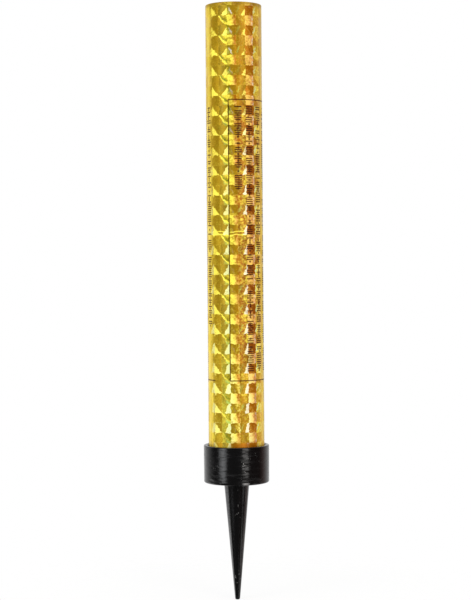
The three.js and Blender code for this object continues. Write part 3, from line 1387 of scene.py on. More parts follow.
    def _glints(
        self, point: FilmPoint, cell: Cell, masks: Masks, colour: bpy.types.NodeSocket
    ) -> bpy.types.NodeSocket:
        """Small broken glints: pale green, rosy, and pearly beside dark green.

        Args:
            point: A point of the film.
            cell: Its place in the repeat.
            masks: Which facets it lies on.
            colour: The film's colour.

        Returns:
            The colour with its glints.
        """
        surface = point.surface
        a, b = cell.inner_a, cell.inner_b
        luck = cell.luck(self.glint_draw)
        bend = point.drift(self.bend_scale) * 0.7
        leaning = a + b * 0.45 + bend * 0.6 - 0.40
        within = b.ease(0.0, 0.25) * b.ease(0.9, 0.65)
        inner, outer = (cell.flash(degrees) for degrees in self.green_degrees)
        green = masks.beside * within * abs(leaning).ease(0.14, 0.03)
        green = green * inner * (luck * 0.6 + 0.2 + outer * 0.4)
        under = abs(cell.above_arc() + 0.20).ease(0.26, 0.06) * a.ease(0.3, 0.7)
        under = under * masks.fold * cell.flash(self.streak_degrees)
        upper = point.height.ease(*self.under_heights) * 0.5
        green = green.at_least(under * (upper + masks.low * 0.4))
        colour = surface.blend(green, colour, surface.blend(outer * 0.8, self.leaf, self.mint))
        reddest = masks.square * cell.flash(self.warm_degrees)
        broken = point.speckle(self.broken_scale)
        flushed = reddest * (a - b * 0.25).ease(0.22, 0.50) * broken.ease(0.40, 0.56) * 0.6
        colour = surface.blend(flushed, colour, self.rosy)
        sheen = reddest * (a + bend * 0.3).ease(0.70, 0.90) * broken.ease(0.56, 0.44) * 0.42
        colour = surface.blend(sheen, colour, self.pearl)
        higher = point.height.ease(*self.pearl_heights) * 0.9 + 0.1
        near_front = masks.below * cell.flash(self.pearly_degrees) * b.ease(0.97, 0.75) * higher
        leaning = a - b * 0.45 + bend * 0.5
        dark = near_front * abs(leaning).ease(0.16, 0.03) * b.ease(0.8, 0.5) * (0.9 - luck * 0.5)
        pearly = near_front * b.ease(0.1, 0.6) * abs(leaning - 0.12).ease(0.13, 0.0)
        mint = near_front * a.ease(0.5, 0.1) * b.ease(0.35, 0.7) * (0.7 - luck * 0.3)
        colour = surface.blend(mint, colour, self.leaf)
        colour = surface.blend(dark, colour, self.fern)
        return surface.blend(pearly * (luck * 0.7 + 0.2), colour, self.pearl)

    def _ends(self, point: FilmPoint, colour: bpy.types.NodeSocket) -> bpy.types.NodeSocket:
        """Darkens the film in a band at the mouth, and in a rust band just above the cup that is
        strongest towards the front right.

        Args:
            point: A point of the film.
            colour: The film's colour.

        Returns:
            The colour with its darker ends.
        """
        height = point.height + point.drift(self.end_scale) * self.end_unevenness
        mouth = height.ease(*(self.mouth + reach for reach in self.mouth_band))
        foot = self._between(height, *(self.foot + reach for reach in self.foot_band))
        reddest = facing(point.angle, self.foot_band_degrees).ease(0.2, 0.9)
        colour = point.surface.blend(mouth * 0.75, colour, self.umber)
        return point.surface.blend(foot * (reddest * 0.7 + 0.25), colour, self.rust)

    @staticmethod
    def _tilted(surface: Surface, across: Value, along: Value) -> bpy.types.NodeSocket:
        """Tilts the surface's normal by a facet's two slopes.

        Args:
            surface: The material's graph.
            across: Slope round the case.
            along: Slope along it.

        Returns:
            The tilted normal.
        """
        x, y, _ = surface.parts(surface.place())
        plain = surface.node("ShaderNodeNewGeometry").outputs["Normal"]
        round_the_case = surface.vector("NORMALIZE", surface.combined(0.0 - y, x, 0.0))
        sideways = surface.scaled(round_the_case, across)
        upwards = surface.combined(0.0, 0.0, along)
        tilted = surface.vector("ADD", surface.vector("ADD", plain, sideways), upwards)
        return surface.vector("NORMALIZE", tilted)


@dataclass(frozen=True)
class PrintedPanel:
    """The film's plain printed ornament: a frame with rows of small bars, dots and diamonds."""

    radius: float
    window_degrees: float = -29.0
    window_half_degrees: float = 17.6
    low: float = 26.4 * MM
    high: float = 97.1 * MM
    line: float = 0.30 * MM
    row_pitch_degrees: float = 24.0
    first_row_degrees: float = 25.0
    row_count: int = 13
    row_low: float = 28.5 * MM
    row_high: float = 95.6 * MM
    first_row_short: float = 46.0 * MM
    last_row_short: float = 11.5 * MM
    motif_pitch: float = 0.54 * MM
    bar: Point = (0.92 * MM, 0.17 * MM)
    dot: float = 0.27 * MM
    diamond: Point = (0.95 * MM, 0.27 * MM)
    shares: Spot = (0.14, 0.60, 0.76)
    strength: float = 0.94

    def ink(self, point: FilmPoint) -> Value:
        """How much ink lies on a point of the film, from zero to one."""
        turn = ((point.angle - math.radians(self.window_degrees)) / FULL_TURN).fraction()
        outline = self._outline(turn, point.height)
        return outline.at_least(self._rows(turn, point.height)) * self.strength

    def _outline(self, turn: Value, height: Value) -> Value:
        """The thin frame: one upright and two level lines, the upper of which ends at the back.

        Args:
            turn: Share of a turn from the window's middle.
            height: Height in metres.

        Returns:
            One on the frame's lines.
        """
        off_side = (self.window_half_degrees - turn * 360.0) * math.radians(self.radius)
        middle = (self.low + self.high) / 2
        off_end = abs(height - middle) - (self.high - self.low) / 2
        drawn = turn + (height > middle) * 0.2 < 1.0 - self.window_half_degrees / 360.0
        return drawn * (abs(off_side.at_least(off_end)) < self.line / 2)

    def _rows(self, turn: Value, height: Value) -> Value:
        """The rows of small motifs that run along the case.

        Args:
            turn: Share of a turn from the window's middle.
            height: Height in metres.

        Returns:
            One on a motif.
        """
        place = (turn * 360.0 - self.first_row_degrees) / self.row_pitch_degrees
        row = place.floor()
        row_width = math.radians(self.row_pitch_degrees) * self.radius
        across = abs(place.fraction() - 0.5) * row_width
        step = height / self.motif_pitch
        up = abs(step.fraction() - 0.5) * self.motif_pitch
        luck = turn.graph.chance(step.floor(), row)
        bar = (across < self.bar[0]) * (up < self.bar[1])
        dot = (across * across + up * up) < self.dot**2
        diamond = (across / self.diamond[0] + up / self.diamond[1]) < 1.0
        blank, bars, dots = self.shares
        is_bar = (luck > blank) * (luck < bars)
        is_dot = (luck > bars) * (luck < dots)
        is_diamond = luck > dots
        motif = bar * is_bar + dot * is_dot + diamond * is_diamond
        first, last = row < 0.5, row > self.row_count - 1.5
        low = first * self.first_row_short + last * self.last_row_short + self.row_low
        inside = (height > low) * (height < self.row_high)
        return motif * inside * (place > 0.0) * (place < float(self.row_count))


@dataclass
class RolledSheet:
    """A sheet rolled about the axis, each turn climbing over the one before."""

    name: str
    start_radius: float
    climb: float
    turns: float
    seam_angle: float
    foot: float
    mouth: float
    columns_a_turn: int
    rows: int
    curl_radius: float = 0.0
    curl_degrees: float = 0.0
    wave: float = 0.0
    wave_scale: float = 3.0
    wave_stretch: float = 60.0
    edge_drop: float = 0.0
    drop_from: float = 0.0
    drop_to: float = 1.0

    def build(self, material: bpy.types.Material) -> bpy.types.Object:
        """Rolls the sheet.

        Args:
            material: Its finish.

        Returns:
            The open sheet, its outer face outwards.
        """
        shape = Shape(self.name + "_roll")
        start = shape.number("Start radius", self.start_radius)
        climb = shape.number("Climb a turn", self.climb)
        turns = shape.number("Turns", self.turns)
        foot = shape.number("Foot", self.foot)
        mouth = shape.number("Mouth", self.mouth)
        wave = shape.number("Wave", self.wave)
        columns = shape.whole("Columns", round(self.columns_a_turn * self.turns) + 1)
        rows = shape.whole("Rows", self.rows)
        grid = shape.node(
            "GeometryNodeMeshGrid",
            None,
            {"Size X": 1.0, "Size Y": 1.0, "Vertices X": columns, "Vertices Y": rows},
        )
        x, y, _ = shape.parts(shape.node("GeometryNodeInputPosition"))
        turned = (x + 0.5) * turns
        angle = turned * FULL_TURN + self.seam_angle
        up = 0.5 - y
        along = 1.0 - up * up
        radius = start + climb * turned
        drop = radius.ease(self.drop_from, self.drop_to) * self.edge_drop
        height, inset = self._curled(foot, mouth - drop, along)
        around = shape.combined(angle.cosine(), angle.sine(), height * self.wave_stretch)
        unevenness = shape.speckle(around, self.wave_scale, 3.0)
        radius = radius - inset + (unevenness - 0.5) * wave
        place = shape.combined(radius * angle.cosine(), radius * angle.sine(), height)
        unrolled = shape.combined(turned * FULL_TURN, height + inset, 0.0)
        kept = shape.stored(grid.outputs["Mesh"], "unrolled", unrolled)
        return shape.solid(self.name, shape.moved(kept, place), material)

    def _curled(self, foot: Value, mouth: Value, along: Value) -> tuple[Value, Value]:
        """Follows the sheet from its foot to its edge, which may curl inwards.

        Args:
            foot: Height of the foot.
            mouth: Height that the edge reaches.
            along: Share of the sheet's height.

        Returns:
            Height, and how far the sheet has curled in.
        """
        radius = self.curl_radius
        if radius == 0.0:
            return foot + (mouth - foot) * along, foot * 0.0
        straight = mouth - foot - radius
        travelled = (straight + radius * math.radians(self.curl_degrees)) * along
        bend = (travelled - straight).at_least(0.0) / radius
        height = foot + travelled.at_most(straight) + bend.sine() * radius
        return height, (1.0 - bend.cosine()) * radius


@dataclass
class SpikeBase:
    """The moulded cup and the spike below it."""

    wall: float = 0.95 * MM
    taper: float = 0.04 * MM
    floor: float = 1.5 * MM
    foot_round: float = 0.4 * MM
    rim_round: float = 0.3 * MM
    lead_in: float = 0.3 * MM
    inner_round: float = 0.3 * MM
    spike_root: float = 3.22 * MM
    spike_tip: float = 0.65 * MM
    tip_round: float = 0.4 * MM
    root_fillet: float = 0.5 * MM
    spike_wall: float = 1.35 * MM
    core_tip: float = 0.75 * MM
    rib_count: int = 6
    rib_height: float = 0.15 * MM
    rib_width: float = 0.5 * MM
    rib_ramp: float = 1.5 * MM
    ripple: float = 0.012 * MM
    ripple_scale: Spot = (90.0, 90.0, 620.0)
    sides: int = 192
    arc_steps: int = 8
    wall_step: float = 0.35 * MM
    spike_step: float = 0.8 * MM
    rim: float = field(default_factory=lambda: top_of("spike_base"))
    tip: float = field(default_factory=lambda: foot_of("spike_base"))
    radius: float = field(default_factory=lambda: most_radius("spike_base"))

    def _outside(self) -> list[Point]:
        """The profile from the spike's tip up to the cup's rim."""
        foot_radius = self.radius - self.taper
        root = self.root_fillet
        steps = self.arc_steps
        tip_centre = (self.spike_tip - self.tip_round, self.tip + self.tip_round)
        tip_arc = arc(tip_centre, self.tip_round, -90, 0, steps)
        fillet = arc((self.spike_root + root, -root), root, 180, 90, steps)
        foot_centre = (foot_radius - self.foot_round, self.foot_round)
        foot_arc = arc(foot_centre, self.foot_round, -90, 0, steps)
        rim_centre = (self.radius - self.rim_round, self.rim - self.rim_round)
        rim_arc = arc(rim_centre, self.rim_round, 0, 90, steps)
        return [
            (0.0, self.tip),
            *tip_arc,
            *divided(tip_arc[-1], fillet[0], self.spike_step),
            *fillet,
            *divided(fillet[-1], foot_arc[0], self.spike_step),
            *foot_arc,
            *divided(foot_arc[-1], rim_arc[0], self.wall_step),
            *rim_arc,
        ]

    def _inside(self) -> list[Point]:
        """The profile from the cup's rim down its bore to the end of the core."""
        bore = self.radius - self.wall
        steps = self.arc_steps
        corner_centre = (bore - self.inner_round, self.floor + self.inner_round)
        corner = arc(corner_centre, self.inner_round, 0, -90, steps)
        core_mouth = self.spike_root - self.spike_wall
        spike_taper = (self.spike_root - self.spike_tip) / -self.tip
        core_floor = (self.core_tip - core_mouth) / spike_taper
        return [
            (bore + self.lead_in, self.rim),
            (bore, self.rim - self.lead_in),
            *divided((bore, self.rim - self.lead_in), corner[0], self.spike_step),
            *corner,
            (core_mouth, self.floor),
            (self.core_tip, core_floor),
            (0.0, core_floor),
        ]

    def _rippled(self, spot: Vector) -> Vector:
        """Moves a point of the outer wall in by the moulding's faint unevenness.

        Args:
            spot: The point.

        Returns:
            The moved point.
        """
        out = spot.xy.length
        if out < self.radius - self.taper * 2 or spot.z < 0:
            return spot
        seed = spot * Vector(self.ripple_scale)
        share = 1 - self.ripple * (noise.noise(seed) * 0.5 + 0.5) / out
        return Vector((spot.x * share, spot.y * share, spot.z))

    def _ribs(self, plastic: bpy.types.Material) -> bpy.types.Object:
        """The grip ribs, one fin set out round the bore.

        Args:
            plastic: Their finish.

        Returns:
            All the ribs as one piece.
        """
        bore = self.radius - self.wall
        shape = Shape("grip_rib_ring")
        count = shape.whole("Count", self.rib_count)
        bore_radius = shape.number("Bore radius", bore)
        height = shape.number("Rib height", self.rib_height)
        width = shape.number("Rib width", self.rib_width)
        rib_top = self.rim - self.lead_in * 1.7
        length = shape.number("Rib length", rib_top - self.floor)
        ramp = shape.number("Ramp", self.rib_ramp)
        size = shape.combined(height * 2.0, width, length)
        fin = shape.node(
            "GeometryNodeMeshCube",
            None,
            {"Size": size, "Vertices X": 3, "Vertices Y": 5, "Vertices Z": 17},
        )
        x, y, z = shape.parts(shape.node("GeometryNodeInputPosition"))
        below_top = length / 2.0 - z
        led = (1.0 - below_top / ramp).at_least(0.0)
        crown = abs(y / width) * 2.0
        inner = (x < 0.0) * (led + crown * crown * 0.35).at_most(0.98)
        formed = shape.moved(fin.outputs["Mesh"], shape.combined(x * (1.0 - inner), y, z))
        circle = {"Vertices": count, "Radius": bore_radius}
        ring = shape.node("GeometryNodeMeshCircle", None, circle)
        out_x, out_y, _ = shape.parts(shape.node("GeometryNodeInputPosition"))
        heading = shape.combined(0.0, 0.0, shape.math("ARCTAN2", out_y, out_x))
        turn = shape.node("FunctionNodeEulerToRotation", None, {"Euler": heading})
        fins = shape.node(
            "GeometryNodeInstanceOnPoints",
            None,
            {"Points": ring.outputs["Mesh"], "Instance": formed, "Rotation": turn},
        )
        lift = (self.floor + rib_top) / 2
        raised = shape.node(
            "GeometryNodeTranslateInstances",
            None,
            {"Instances": fins, "Translation": (0.0, 0.0, lift), "Local Space": False},
        )
        return shape.solid("grip_ribs", raised, plastic)

    def build(self) -> None:
        """Makes the moulding and its ribs and puts them on the base body."""
        plastic = BlackPlastic().build()
        profile = [*self._outside(), *self._inside()]
        mesh = revolved("moulded_spike_base", profile, self.sides, self._rippled)
        moulding = creased(linked("moulded_spike_base", mesh, plastic), 38)
        settled(moulding, Body.BASE, "black_plastic", "spike_base")
        settled(creased(self._ribs(plastic), 30), Body.BASE, "black_plastic")


@dataclass
class WrappedCase:
    """The wound paper case and the film round it."""

    ply: float = 0.16 * MM
    ply_gap: float = 0.018 * MM
    ply_count: int = 8
    lap: float = 5.0 * MM
    film_thickness: float = 0.08 * MM
    film_wave: float = 0.05 * MM
    curl_radius: float = 0.28 * MM
    curl_degrees: float = 66.0
    seam_angle: float = math.pi / 2
    bore: float = field(default_factory=lambda: least_radius("case_tube"))
    film_inside: float = field(default_factory=lambda: least_radius("foil_wrap"))
    film_foot: float = field(default_factory=lambda: foot_of("foil_wrap"))
    paper_foot: float = field(default_factory=lambda: foot_of("case_tube"))
    mouth: float = field(default_factory=lambda: top_of("case_tube"))

    def build(self) -> None:
        """Rolls the case and its film and puts them on the case body."""
        settled(self._paper(), Body.CASE, "kraft_paper", "case_tube")
        settled(self._film(), Body.CASE, "gold_film", "foil_wrap")

    def _paper(self) -> bpy.types.Object:
        """The paper, every ply a turn of one long sheet."""
        outside = self.bore + self.ply * self.ply_count
        sheet = RolledSheet(
            name="wound_paper_case",
            start_radius=self.bore + self.ply,
            climb=self.ply,
            turns=self.ply_count,
            seam_angle=self.seam_angle,
            foot=self.paper_foot,
            mouth=self.mouth - self.curl_radius * 0.3,
            columns_a_turn=112,
            rows=9,
            edge_drop=self.curl_radius,
            drop_from=outside - self.curl_radius * 1.4,
            drop_to=outside + self.ply,
            wave=0.02 * MM,
        )
        piece = sheet.build(KraftPaper().build())
        return creased(thickened(piece, self.ply - self.ply_gap), 40)

    def _film(self) -> bpy.types.Object:
        """The film, lapped at the back and turned over the mouth's edge."""
        outer = self.film_inside + self.film_thickness
        cup_rim = top_of("spike_base")
        finish = PrismaticFilm(radius=outer, foot=cup_rim, mouth=self.mouth)
        sheet = RolledSheet(
            name="prismatic_film_wrap",
            start_radius=outer,
            climb=self.ply,
            turns=1 + self.lap / (FULL_TURN * self.film_inside),
            seam_angle=self.seam_angle,
            foot=self.film_foot,
            mouth=self.mouth,
            columns_a_turn=144,
            rows=230,
            curl_radius=self.curl_radius,
            curl_degrees=self.curl_degrees,
            wave=self.film_wave,
        )
        return creased(thickened(sheet.build(finish.build()), self.film_thickness), 50)


@dataclass
class Choke:
    """The pressed clay ring that the sparks leave through."""

    throat: float = 2.2 * MM
    lip: float = 1.0 * MM
    flare_depth: float = 3.0 * MM
    entry: float = 0.6 * MM
    edge_round: float = 0.18 * MM
    pitting: float = 0.05 * MM
    pit_scale: float = 1400.0
    pressed_top: float = 2.0 * MM
    sides: int = 128
    step: float = 0.35 * MM
    foot: float = field(default_factory=lambda: foot_of("choke_ring"))
    top: float = field(default_factory=lambda: top_of("choke_ring"))
    radius: float = field(default_factory=lambda: most_radius("choke_ring"))

    def _pitted(self, spot: Vector) -> Vector:
        """Presses a point back by the clay's uneven grain.

        Args:
            spot: The point.

        Returns:
            The moved point.
        """
        depth = self.pitting * (noise.noise(spot * self.pit_scale) * 0.5 + 0.5)
        if spot.z > self.top - self.pressed_top:
            return spot - Vector((0.0, 0.0, depth))
        out = spot.xy.length
        return spot - Vector((spot.x / out, spot.y / out, 0.0)) * depth

    def build(self) -> None:
        """Makes the ring and puts it on the case body."""
        flare = self.radius - self.lip
        corners = [
            (self.throat + self.entry, self.foot + self.pitting),
            (self.radius, self.foot + self.pitting),
            (self.radius, self.top - self.edge_round),
            (self.radius - self.edge_round, self.top),
            (flare + self.edge_round, self.top),
            (flare - self.edge_round * 0.5, self.top - self.edge_round),
            (self.throat + self.pitting, self.top - self.flare_depth),
            (self.throat + self.pitting, self.foot + self.entry),
        ]
        profile: list[Point] = []
        for corner, following in zip(corners, [*corners[1:], corners[0]]):
            profile += [corner, *divided(corner, following, self.step)]
        clay = MineralGrain("pressed_clay", *PRESSED_CLAY).build()
        mesh = revolved("clay_choke_ring", profile, self.sides, self._pitted, closed=True)
        ring = creased(linked("clay_choke_ring", mesh, clay), 40)
        settled(ring, Body.CASE, "pressed_clay", "choke_ring")


@dataclass
class Fuse:
    """The lacquered fuse, its thread, its powder core and the tissue that wedges it."""

    radius: float = 1.0 * MM
    thread: float = 0.19 * MM
    thread_count: int = 12
    thread_pitch: float = 7.5 * MM
    lining: float = 0.80 * MM
    core: float = 0.58 * MM
    core_shows: float = 0.7 * MM
    off_wall: float = 0.5 * MM
    bend_share: float = 1 / 3
    route_steps: int = 90
    strand_sides: int = 8
    tissue_ply: float = 0.2 * MM
    tissue_turns: float = 4.0
    case_bore: float = field(default_factory=lambda: least_radius("case_tube"))
    foot: float = field(default_factory=lambda: foot_of("fuse_jacket"))
    bend_height: float = field(default_factory=lambda: top_of("fuse_wad"))
    wad_foot: float = field(default_factory=lambda: foot_of("fuse_wad"))
    end: float = field(default_factory=lambda: top_of("fuse_jacket"))

    def _route(self, lift: float) -> bpy.types.Object:
        """The centre line as a curve object, up through the wad and over to the wall.

        Args:
            lift: How far it goes on past the jacket's end.

        Returns:
            The curve, to be removed once it has been used.
        """
        lean = -(self.case_bore - self.radius - self.off_wall)
        rise = (self.end - self.bend_height) * self.bend_share
        curve = bpy.data.curves.new("fuse_route", "CURVE")
        curve.dimensions = "3D"
        curve.resolution_u = 24
        spline = curve.splines.new("BEZIER")
        spots = [
            (0.0, self.foot),
            (0.0, self.bend_height),
            (lean, self.end),
            (lean, self.end + lift),
        ]
        spline.bezier_points.add(len(spots) - 1)
        for knot, (x, z) in zip(spline.bezier_points, spots):
            knot.co = (x, 0.0, z)
            knot.handle_left_type = knot.handle_right_type = "FREE"
            knot.handle_left = knot.handle_right = (x, 0.0, z)
        _, start, finish, _ = spline.bezier_points
        start.handle_right = (0.0, 0.0, self.bend_height + rise)
        finish.handle_left = (lean, 0.0, self.bend_height + rise)
        route = bpy.data.objects.new("fuse_route", curve)
        bpy.context.scene.collection.objects.link(route)
        return route

    def _along(
        self, name: str, lift: float, strands: int, radius: float, winding: float,
        material: bpy.types.Material,
    ) -> bpy.types.Object:
        """Winds strands of one thickness along the route, or one straight strand down it.

        Args:
            name: The piece's name.
            lift: How far the route goes on past the jacket's end.
            strands: Number of strands.
            radius: A strand's radius.
            winding: Radius of the helix that the strands follow.
            material: Their finish.

        Returns:
            The strands as one piece.
        """
        route = self._route(lift)
        shape = Shape(name + "_winding")
        count = shape.whole("Strands", strands)
        thick = shape.number("Strand radius", radius)
        helix = shape.number("Winding radius", winding)
        pitch = shape.number("Pitch", self.thread_pitch)
        line = shape.node("GeometryNodeObjectInfo", None, {"Object": route}).outputs["Geometry"]
        measured = shape.node("GeometryNodeCurveLength", None, {"Curve": line})
        length = Value(shape, measured.outputs[0])
        base = shape.node(
            "GeometryNodeResampleCurve",
            {"mode": "COUNT"},
            {"Curve": line, "Count": self.route_steps},
        )
        copies = shape.node(
            "GeometryNodeDuplicateElements",
            {"domain": "SPLINE"},
            {"Geometry": base, "Amount": count},
        )
        which = Value(shape, copies.outputs["Duplicate Index"])
        share = Value(shape, shape.node("GeometryNodeSplineParameter").outputs["Factor"])
        turn = (share * length / pitch + which / count) * FULL_TURN
        tangent = shape.node("GeometryNodeInputTangent")
        crossing = shape.vector("CROSS_PRODUCT", tangent.outputs[0], (0.0, 1.0, 0.0))
        out = shape.scaled(shape.vector("NORMALIZE", crossing), turn.cosine() * helix)
        over = shape.combined(0.0, turn.sine() * helix, 0.0)
        offset = shape.vector("ADD", out, over)
        wound = shape.node(
            "GeometryNodeSetPosition",
            None,
            {"Geometry": copies.outputs["Geometry"], "Offset": offset},
        )
        outline = {"Resolution": self.strand_sides, "Radius": thick}
        section = shape.node("GeometryNodeCurvePrimitiveCircle", None, outline)
        tube = shape.node(
            "GeometryNodeCurveToMesh",
            None,
            {"Curve": wound, "Profile Curve": section.outputs["Curve"], "Fill Caps": True},
        )
        piece = shape.solid(name, tube, material)
        bpy.data.objects.remove(route)
        return piece

    def _wad(self) -> bpy.types.Object:
        """Tissue rolled a few turns round the fuse, ruffled at its upper edge."""
        inside = least_radius("fuse_wad")
        outside = most_radius("fuse_wad")
        sheet = RolledSheet(
            name="tissue_wad",
            start_radius=inside + self.tissue_ply,
            climb=(outside - inside - self.tissue_ply) / self.tissue_turns,
            turns=self.tissue_turns,
            seam_angle=0.4,
            foot=self.wad_foot,
            mouth=self.bend_height,
            columns_a_turn=80,
            rows=14,
            wave=0.14 * MM,
            wave_scale=7.0,
            edge_drop=0.7 * MM,
            drop_from=inside,
            drop_to=outside,
        )
        return thickened(sheet.build(SoftTissue().build()), self.tissue_ply * 0.5)

    def build(self) -> None:
        """Makes the thread, the core and the tissue and puts them on the case body."""
        thread = LacqueredThread().build()
        powder = MineralGrain(
            "black_powder_grain", (0.035, 0.03, 0.028), (0.010, 0.009, 0.008), scale=5200.0
        ).build()
        winding = self.radius - self.thread
        strands = self.thread_count
        jacket = self._along("wound_fuse_thread", 0.0, strands, self.thread, winding, thread)
        lining = self._along("fuse_lining", 0.0, 1, self.lining, 0.0, thread)
        core = self._along("fuse_powder_core", self.core_shows, 1, self.core, 0.0, powder)
        settled(jacket, Body.CASE, "green_thread", "fuse_jacket")
        settled(creased(lining, 40), Body.CASE, "green_thread")
        settled(creased(core, 40), Body.CASE, "black_powder", "fuse_core")
        settled(self._wad(), Body.CASE, "tissue", "fuse_wad")


@dataclass
class Load:
    """What the case holds out of sight, which keeps the construction's own shapes."""

    def build(self) -> None:
        """Gives each hidden piece its finish."""
        clay = MineralGrain("pressed_plug_clay", *PRESSED_CLAY).build()
        card = MineralGrain(
            "punched_grey_card", (0.62, 0.59, 0.52), (0.47, 0.44, 0.38), 1800.0, 0.02 * MM
        ).build()
        spark = MineralGrain(
            "spark_mixture", (0.30, 0.29, 0.27), (0.10, 0.095, 0.085), sparkle=0.8
        ).build()
        prime = MineralGrain("prime_mixture", (0.09, 0.075, 0.065), (0.03, 0.026, 0.022)).build()
        finishes = {
            "end_plug": clay,
            "divider_disc": card,
            "spark_charge": spark,
            "prime_pellet": prime,
        }
        for node, material in finishes.items():
            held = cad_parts[node]
            held.data.materials.clear()
            held.data.materials.append(material)
            LOG.info("%s keeps its shape and takes %s", node, material.name)


@dataclass(frozen=True)
class Lamp:
    """One soft rectangular lamp, placed by its direction from the object."""

    name: str
    azimuth: float
    elevation: float
    width: float
    height: float
    radiance: float
    colour: Colour = (1.0, 1.0, 1.0)
    distance: float = 0.7

    def build(self, aim: Vector) -> None:
        """Hangs the lamp, turned towards a point.

        Args:
            aim: The point.
        """
        lamp = bpy.data.lights.new(self.name, "AREA")
        lamp.shape = "RECTANGLE"
        lamp.size = self.width
        lamp.size_y = self.height
        lamp.energy = self.radiance * math.pi * self.width * self.height
        lamp.color = self.colour
        held = bpy.data.objects.new(self.name, lamp)
        azimuth, elevation = math.radians(self.azimuth), math.radians(self.elevation)
        level = math.cos(elevation)
        away = Vector((math.sin(azimuth) * level, -math.cos(azimuth) * level, math.sin(elevation)))
        held.location = aim + away * self.distance
        held.rotation_euler = away.to_track_quat("Z", "Y").to_euler()
        held.visible_camera = False
        bpy.context.scene.collection.objects.link(held)


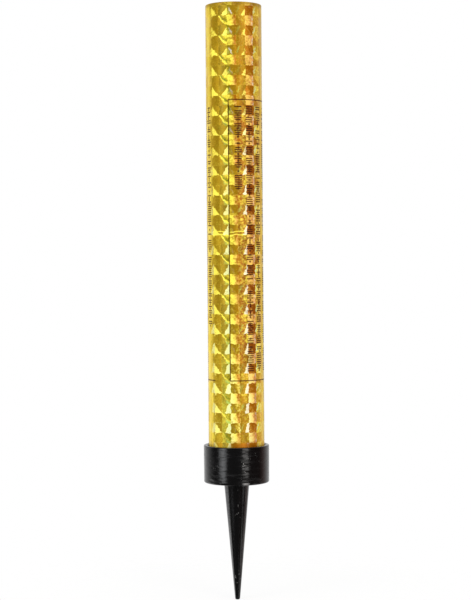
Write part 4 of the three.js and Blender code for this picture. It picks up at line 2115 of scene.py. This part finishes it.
@dataclass
class Studio:
    """The camera, the lamps, the pale surroundings and the floor."""

    photo_width: float = 471.0
    photo_height: float = 600.0
    focal_pixels: float = 1641.2
    sensor: float = 36.0
    distance: float = 419.6 * MM
    eye_height: float = 57.4 * MM
    eye_row: float = 257.8
    axis_column: float = 235.35
    roll_degrees: float = -0.44
    fill: float = 0.80
    mirrored_front: float = 0.05
    mirrored_back: Point = (-0.12, 0.79)
    mirrored_right: float = 0.12
    darker_right: Point = (0.2, 0.6)
    warmer_right: Point = (0.1, 0.8)
    mirrored_warm: Colour = (1.0, 0.50, 0.42)
    floor_radius: float = 75.0 * MM
    floor_fade: float = 0.45
    floor_gap: float = 0.05 * MM
    floor_sides: int = 96
    floor_lift: float = 0.84
    floor_scale: float = 900.0
    floor_colour: Colour = (0.88, 0.88, 0.87)
    floor_pale: Colour = (0.93, 0.93, 0.92)
    tip: float = field(default_factory=lambda: foot_of("spike_base"))
    lamps: tuple[Lamp, ...] = (
        Lamp("left_softbox", -49.5, 12.0, 0.37, 0.75, 1.8, (0.96, 0.98, 1.0)),
        Lamp("left_core", -47.5, 12.0, 0.16, 0.75, 1.5, (0.96, 0.98, 1.0)),
        Lamp("right_softbox", 31.5, 14.6, 0.27, 0.69, 2.8, (1.0, 0.97, 0.94)),
        Lamp("low_left_strip", -110.0, -25.0, 0.46, 0.16, 2.0),
        Lamp("low_right_strip", 100.0, -26.0, 0.12, 0.16, 1.4),
        Lamp("spike_edge_strip", 69.0, -28.0, 0.24, 0.16, 1.3),
        Lamp("cup_foot_strip", 31.0, -38.0, 0.10, 0.24, 2.0),
        Lamp("top_softbox", 0.0, 78.0, 0.60, 0.60, 1.0),
    )

    def _camera(self) -> None:
        """The camera, at the photograph's distance, height and lean."""
        data = bpy.data.cameras.new("camera")
        data.sensor_width = self.sensor
        data.lens = self.focal_pixels / self.photo_height * self.sensor
        data.clip_start = 0.01
        camera = bpy.data.objects.new("camera", data)
        dip = math.atan((self.photo_height / 2 - self.eye_row) / self.focal_pixels)
        swing = math.atan((self.axis_column - self.photo_width / 2) / self.focal_pixels)
        roll = math.radians(self.roll_degrees)
        turn = (
            Matrix.Rotation(swing, 4, "Z")
            @ Matrix.Rotation(math.pi / 2 - dip, 4, "X")
            @ Matrix.Rotation(roll, 4, "Z")
        )
        camera.matrix_world = Matrix.Translation((0.0, -self.distance, self.eye_height)) @ turn
        bpy.context.scene.collection.objects.link(camera)
        bpy.context.scene.camera = camera

    def _surroundings(self) -> None:
        """The world: white to the camera, an even fill, and mirrored dark before the object."""
        world = bpy.data.worlds.new("studio")
        bpy.context.scene.world = world
        world.use_nodes = True
        graph = Graph(world.node_tree)
        right, back, _ = graph.parts(graph.node("ShaderNodeTexCoord").outputs["Generated"])
        rays = graph.node("ShaderNodeLightPath").outputs
        seen = Value(graph, rays["Is Camera Ray"]).at_least(
            Value(graph, rays["Is Transmission Ray"])
        )
        glossy = Value(graph, rays["Is Glossy Ray"])
        front = self.mirrored_front
        mirrored = front + (1.0 - front) * back.ease(*self.mirrored_back)
        mirrored = mirrored * (1.0 - right.ease(*self.darker_right) * self.mirrored_right)
        strength = self.fill + (mirrored - self.fill) * glossy
        strength = strength + (1.0 - strength) * seen
        before = 1.0 - back.ease(*self.mirrored_back)
        warmth = right.ease(*self.warmer_right) * glossy * before
        colour = graph.blend(warmth, (1.0, 1.0, 1.0), self.mirrored_warm)
        shader = graph.node("ShaderNodeBackground", None, {"Color": colour, "Strength": strength})
        graph.node("ShaderNodeOutputWorld", None, {"Surface": shader})

    def _floor(self) -> None:
        """A pale round floor under the spike's tip that fades into the white."""
        surface = Surface("pale_floor")
        x, y, _ = surface.parts(surface.place())
        out = (x * x + y * y).root()
        behind = Value(surface, surface.node("ShaderNodeNewGeometry").outputs["Backfacing"])
        faded = out.ease(self.floor_radius, self.floor_radius * self.floor_fade)
        solid = faded * (1.0 - behind)
        mottle = surface.speckle(surface.place(), self.floor_scale)
        tone = surface.blend(mottle * 0.25, self.floor_colour, self.floor_pale)
        matt = surface.node("ShaderNodeBsdfDiffuse", None, {"Color": tone})
        white = {"Color": (1.0, 1.0, 1.0), "Strength": 1.0}
        lifted = surface.node("ShaderNodeEmission", None, white)
        seen = Value(surface, surface.node("ShaderNodeLightPath").outputs["Is Camera Ray"])
        lit = surface.node(
            "ShaderNodeMixShader", None, {0: seen * self.floor_lift, 1: matt, 2: lifted}
        )
        clear = surface.node("ShaderNodeBsdfTransparent")
        shown = surface.node("ShaderNodeMixShader", None, {0: solid, 1: clear, 2: lit})
        surface.node("ShaderNodeOutputMaterial", None, {"Surface": shown})
        floor = linked("floor", self._disc(), surface.material)
        floor.visible_glossy = False

    def _disc(self) -> bpy.types.Mesh:
        """The floor's flat disc, just under the tip."""
        built = bmesh.new()
        bmesh.ops.create_circle(
            built, cap_ends=True, segments=self.floor_sides, radius=self.floor_radius
        )
        level = (0.0, 0.0, self.tip - self.floor_gap)
        bmesh.ops.translate(built, verts=built.verts, vec=level)
        mesh = bpy.data.meshes.new("floor")
        built.to_mesh(mesh)
        built.free()
        return mesh

    def build(self) -> None:
        """Sets up the whole studio."""
        bpy.context.scene.view_settings.view_transform = "Standard"
        self._camera()
        self._surroundings()
        self._floor()
        for lamp in self.lamps:
            lamp.build(Vector((0.0, 0.0, self.eye_height)))


def main() -> None:
    """Builds every sub-assembly in order."""
    logging.basicConfig(level=logging.INFO, format="%(name)s: %(message)s")
    for part in (Studio(), SpikeBase(), WrappedCase(), Choke(), Fuse(), Load()):
        LOG.info("building %s", type(part).__name__)
        part.build()


if __name__ == "__main__":
    main()
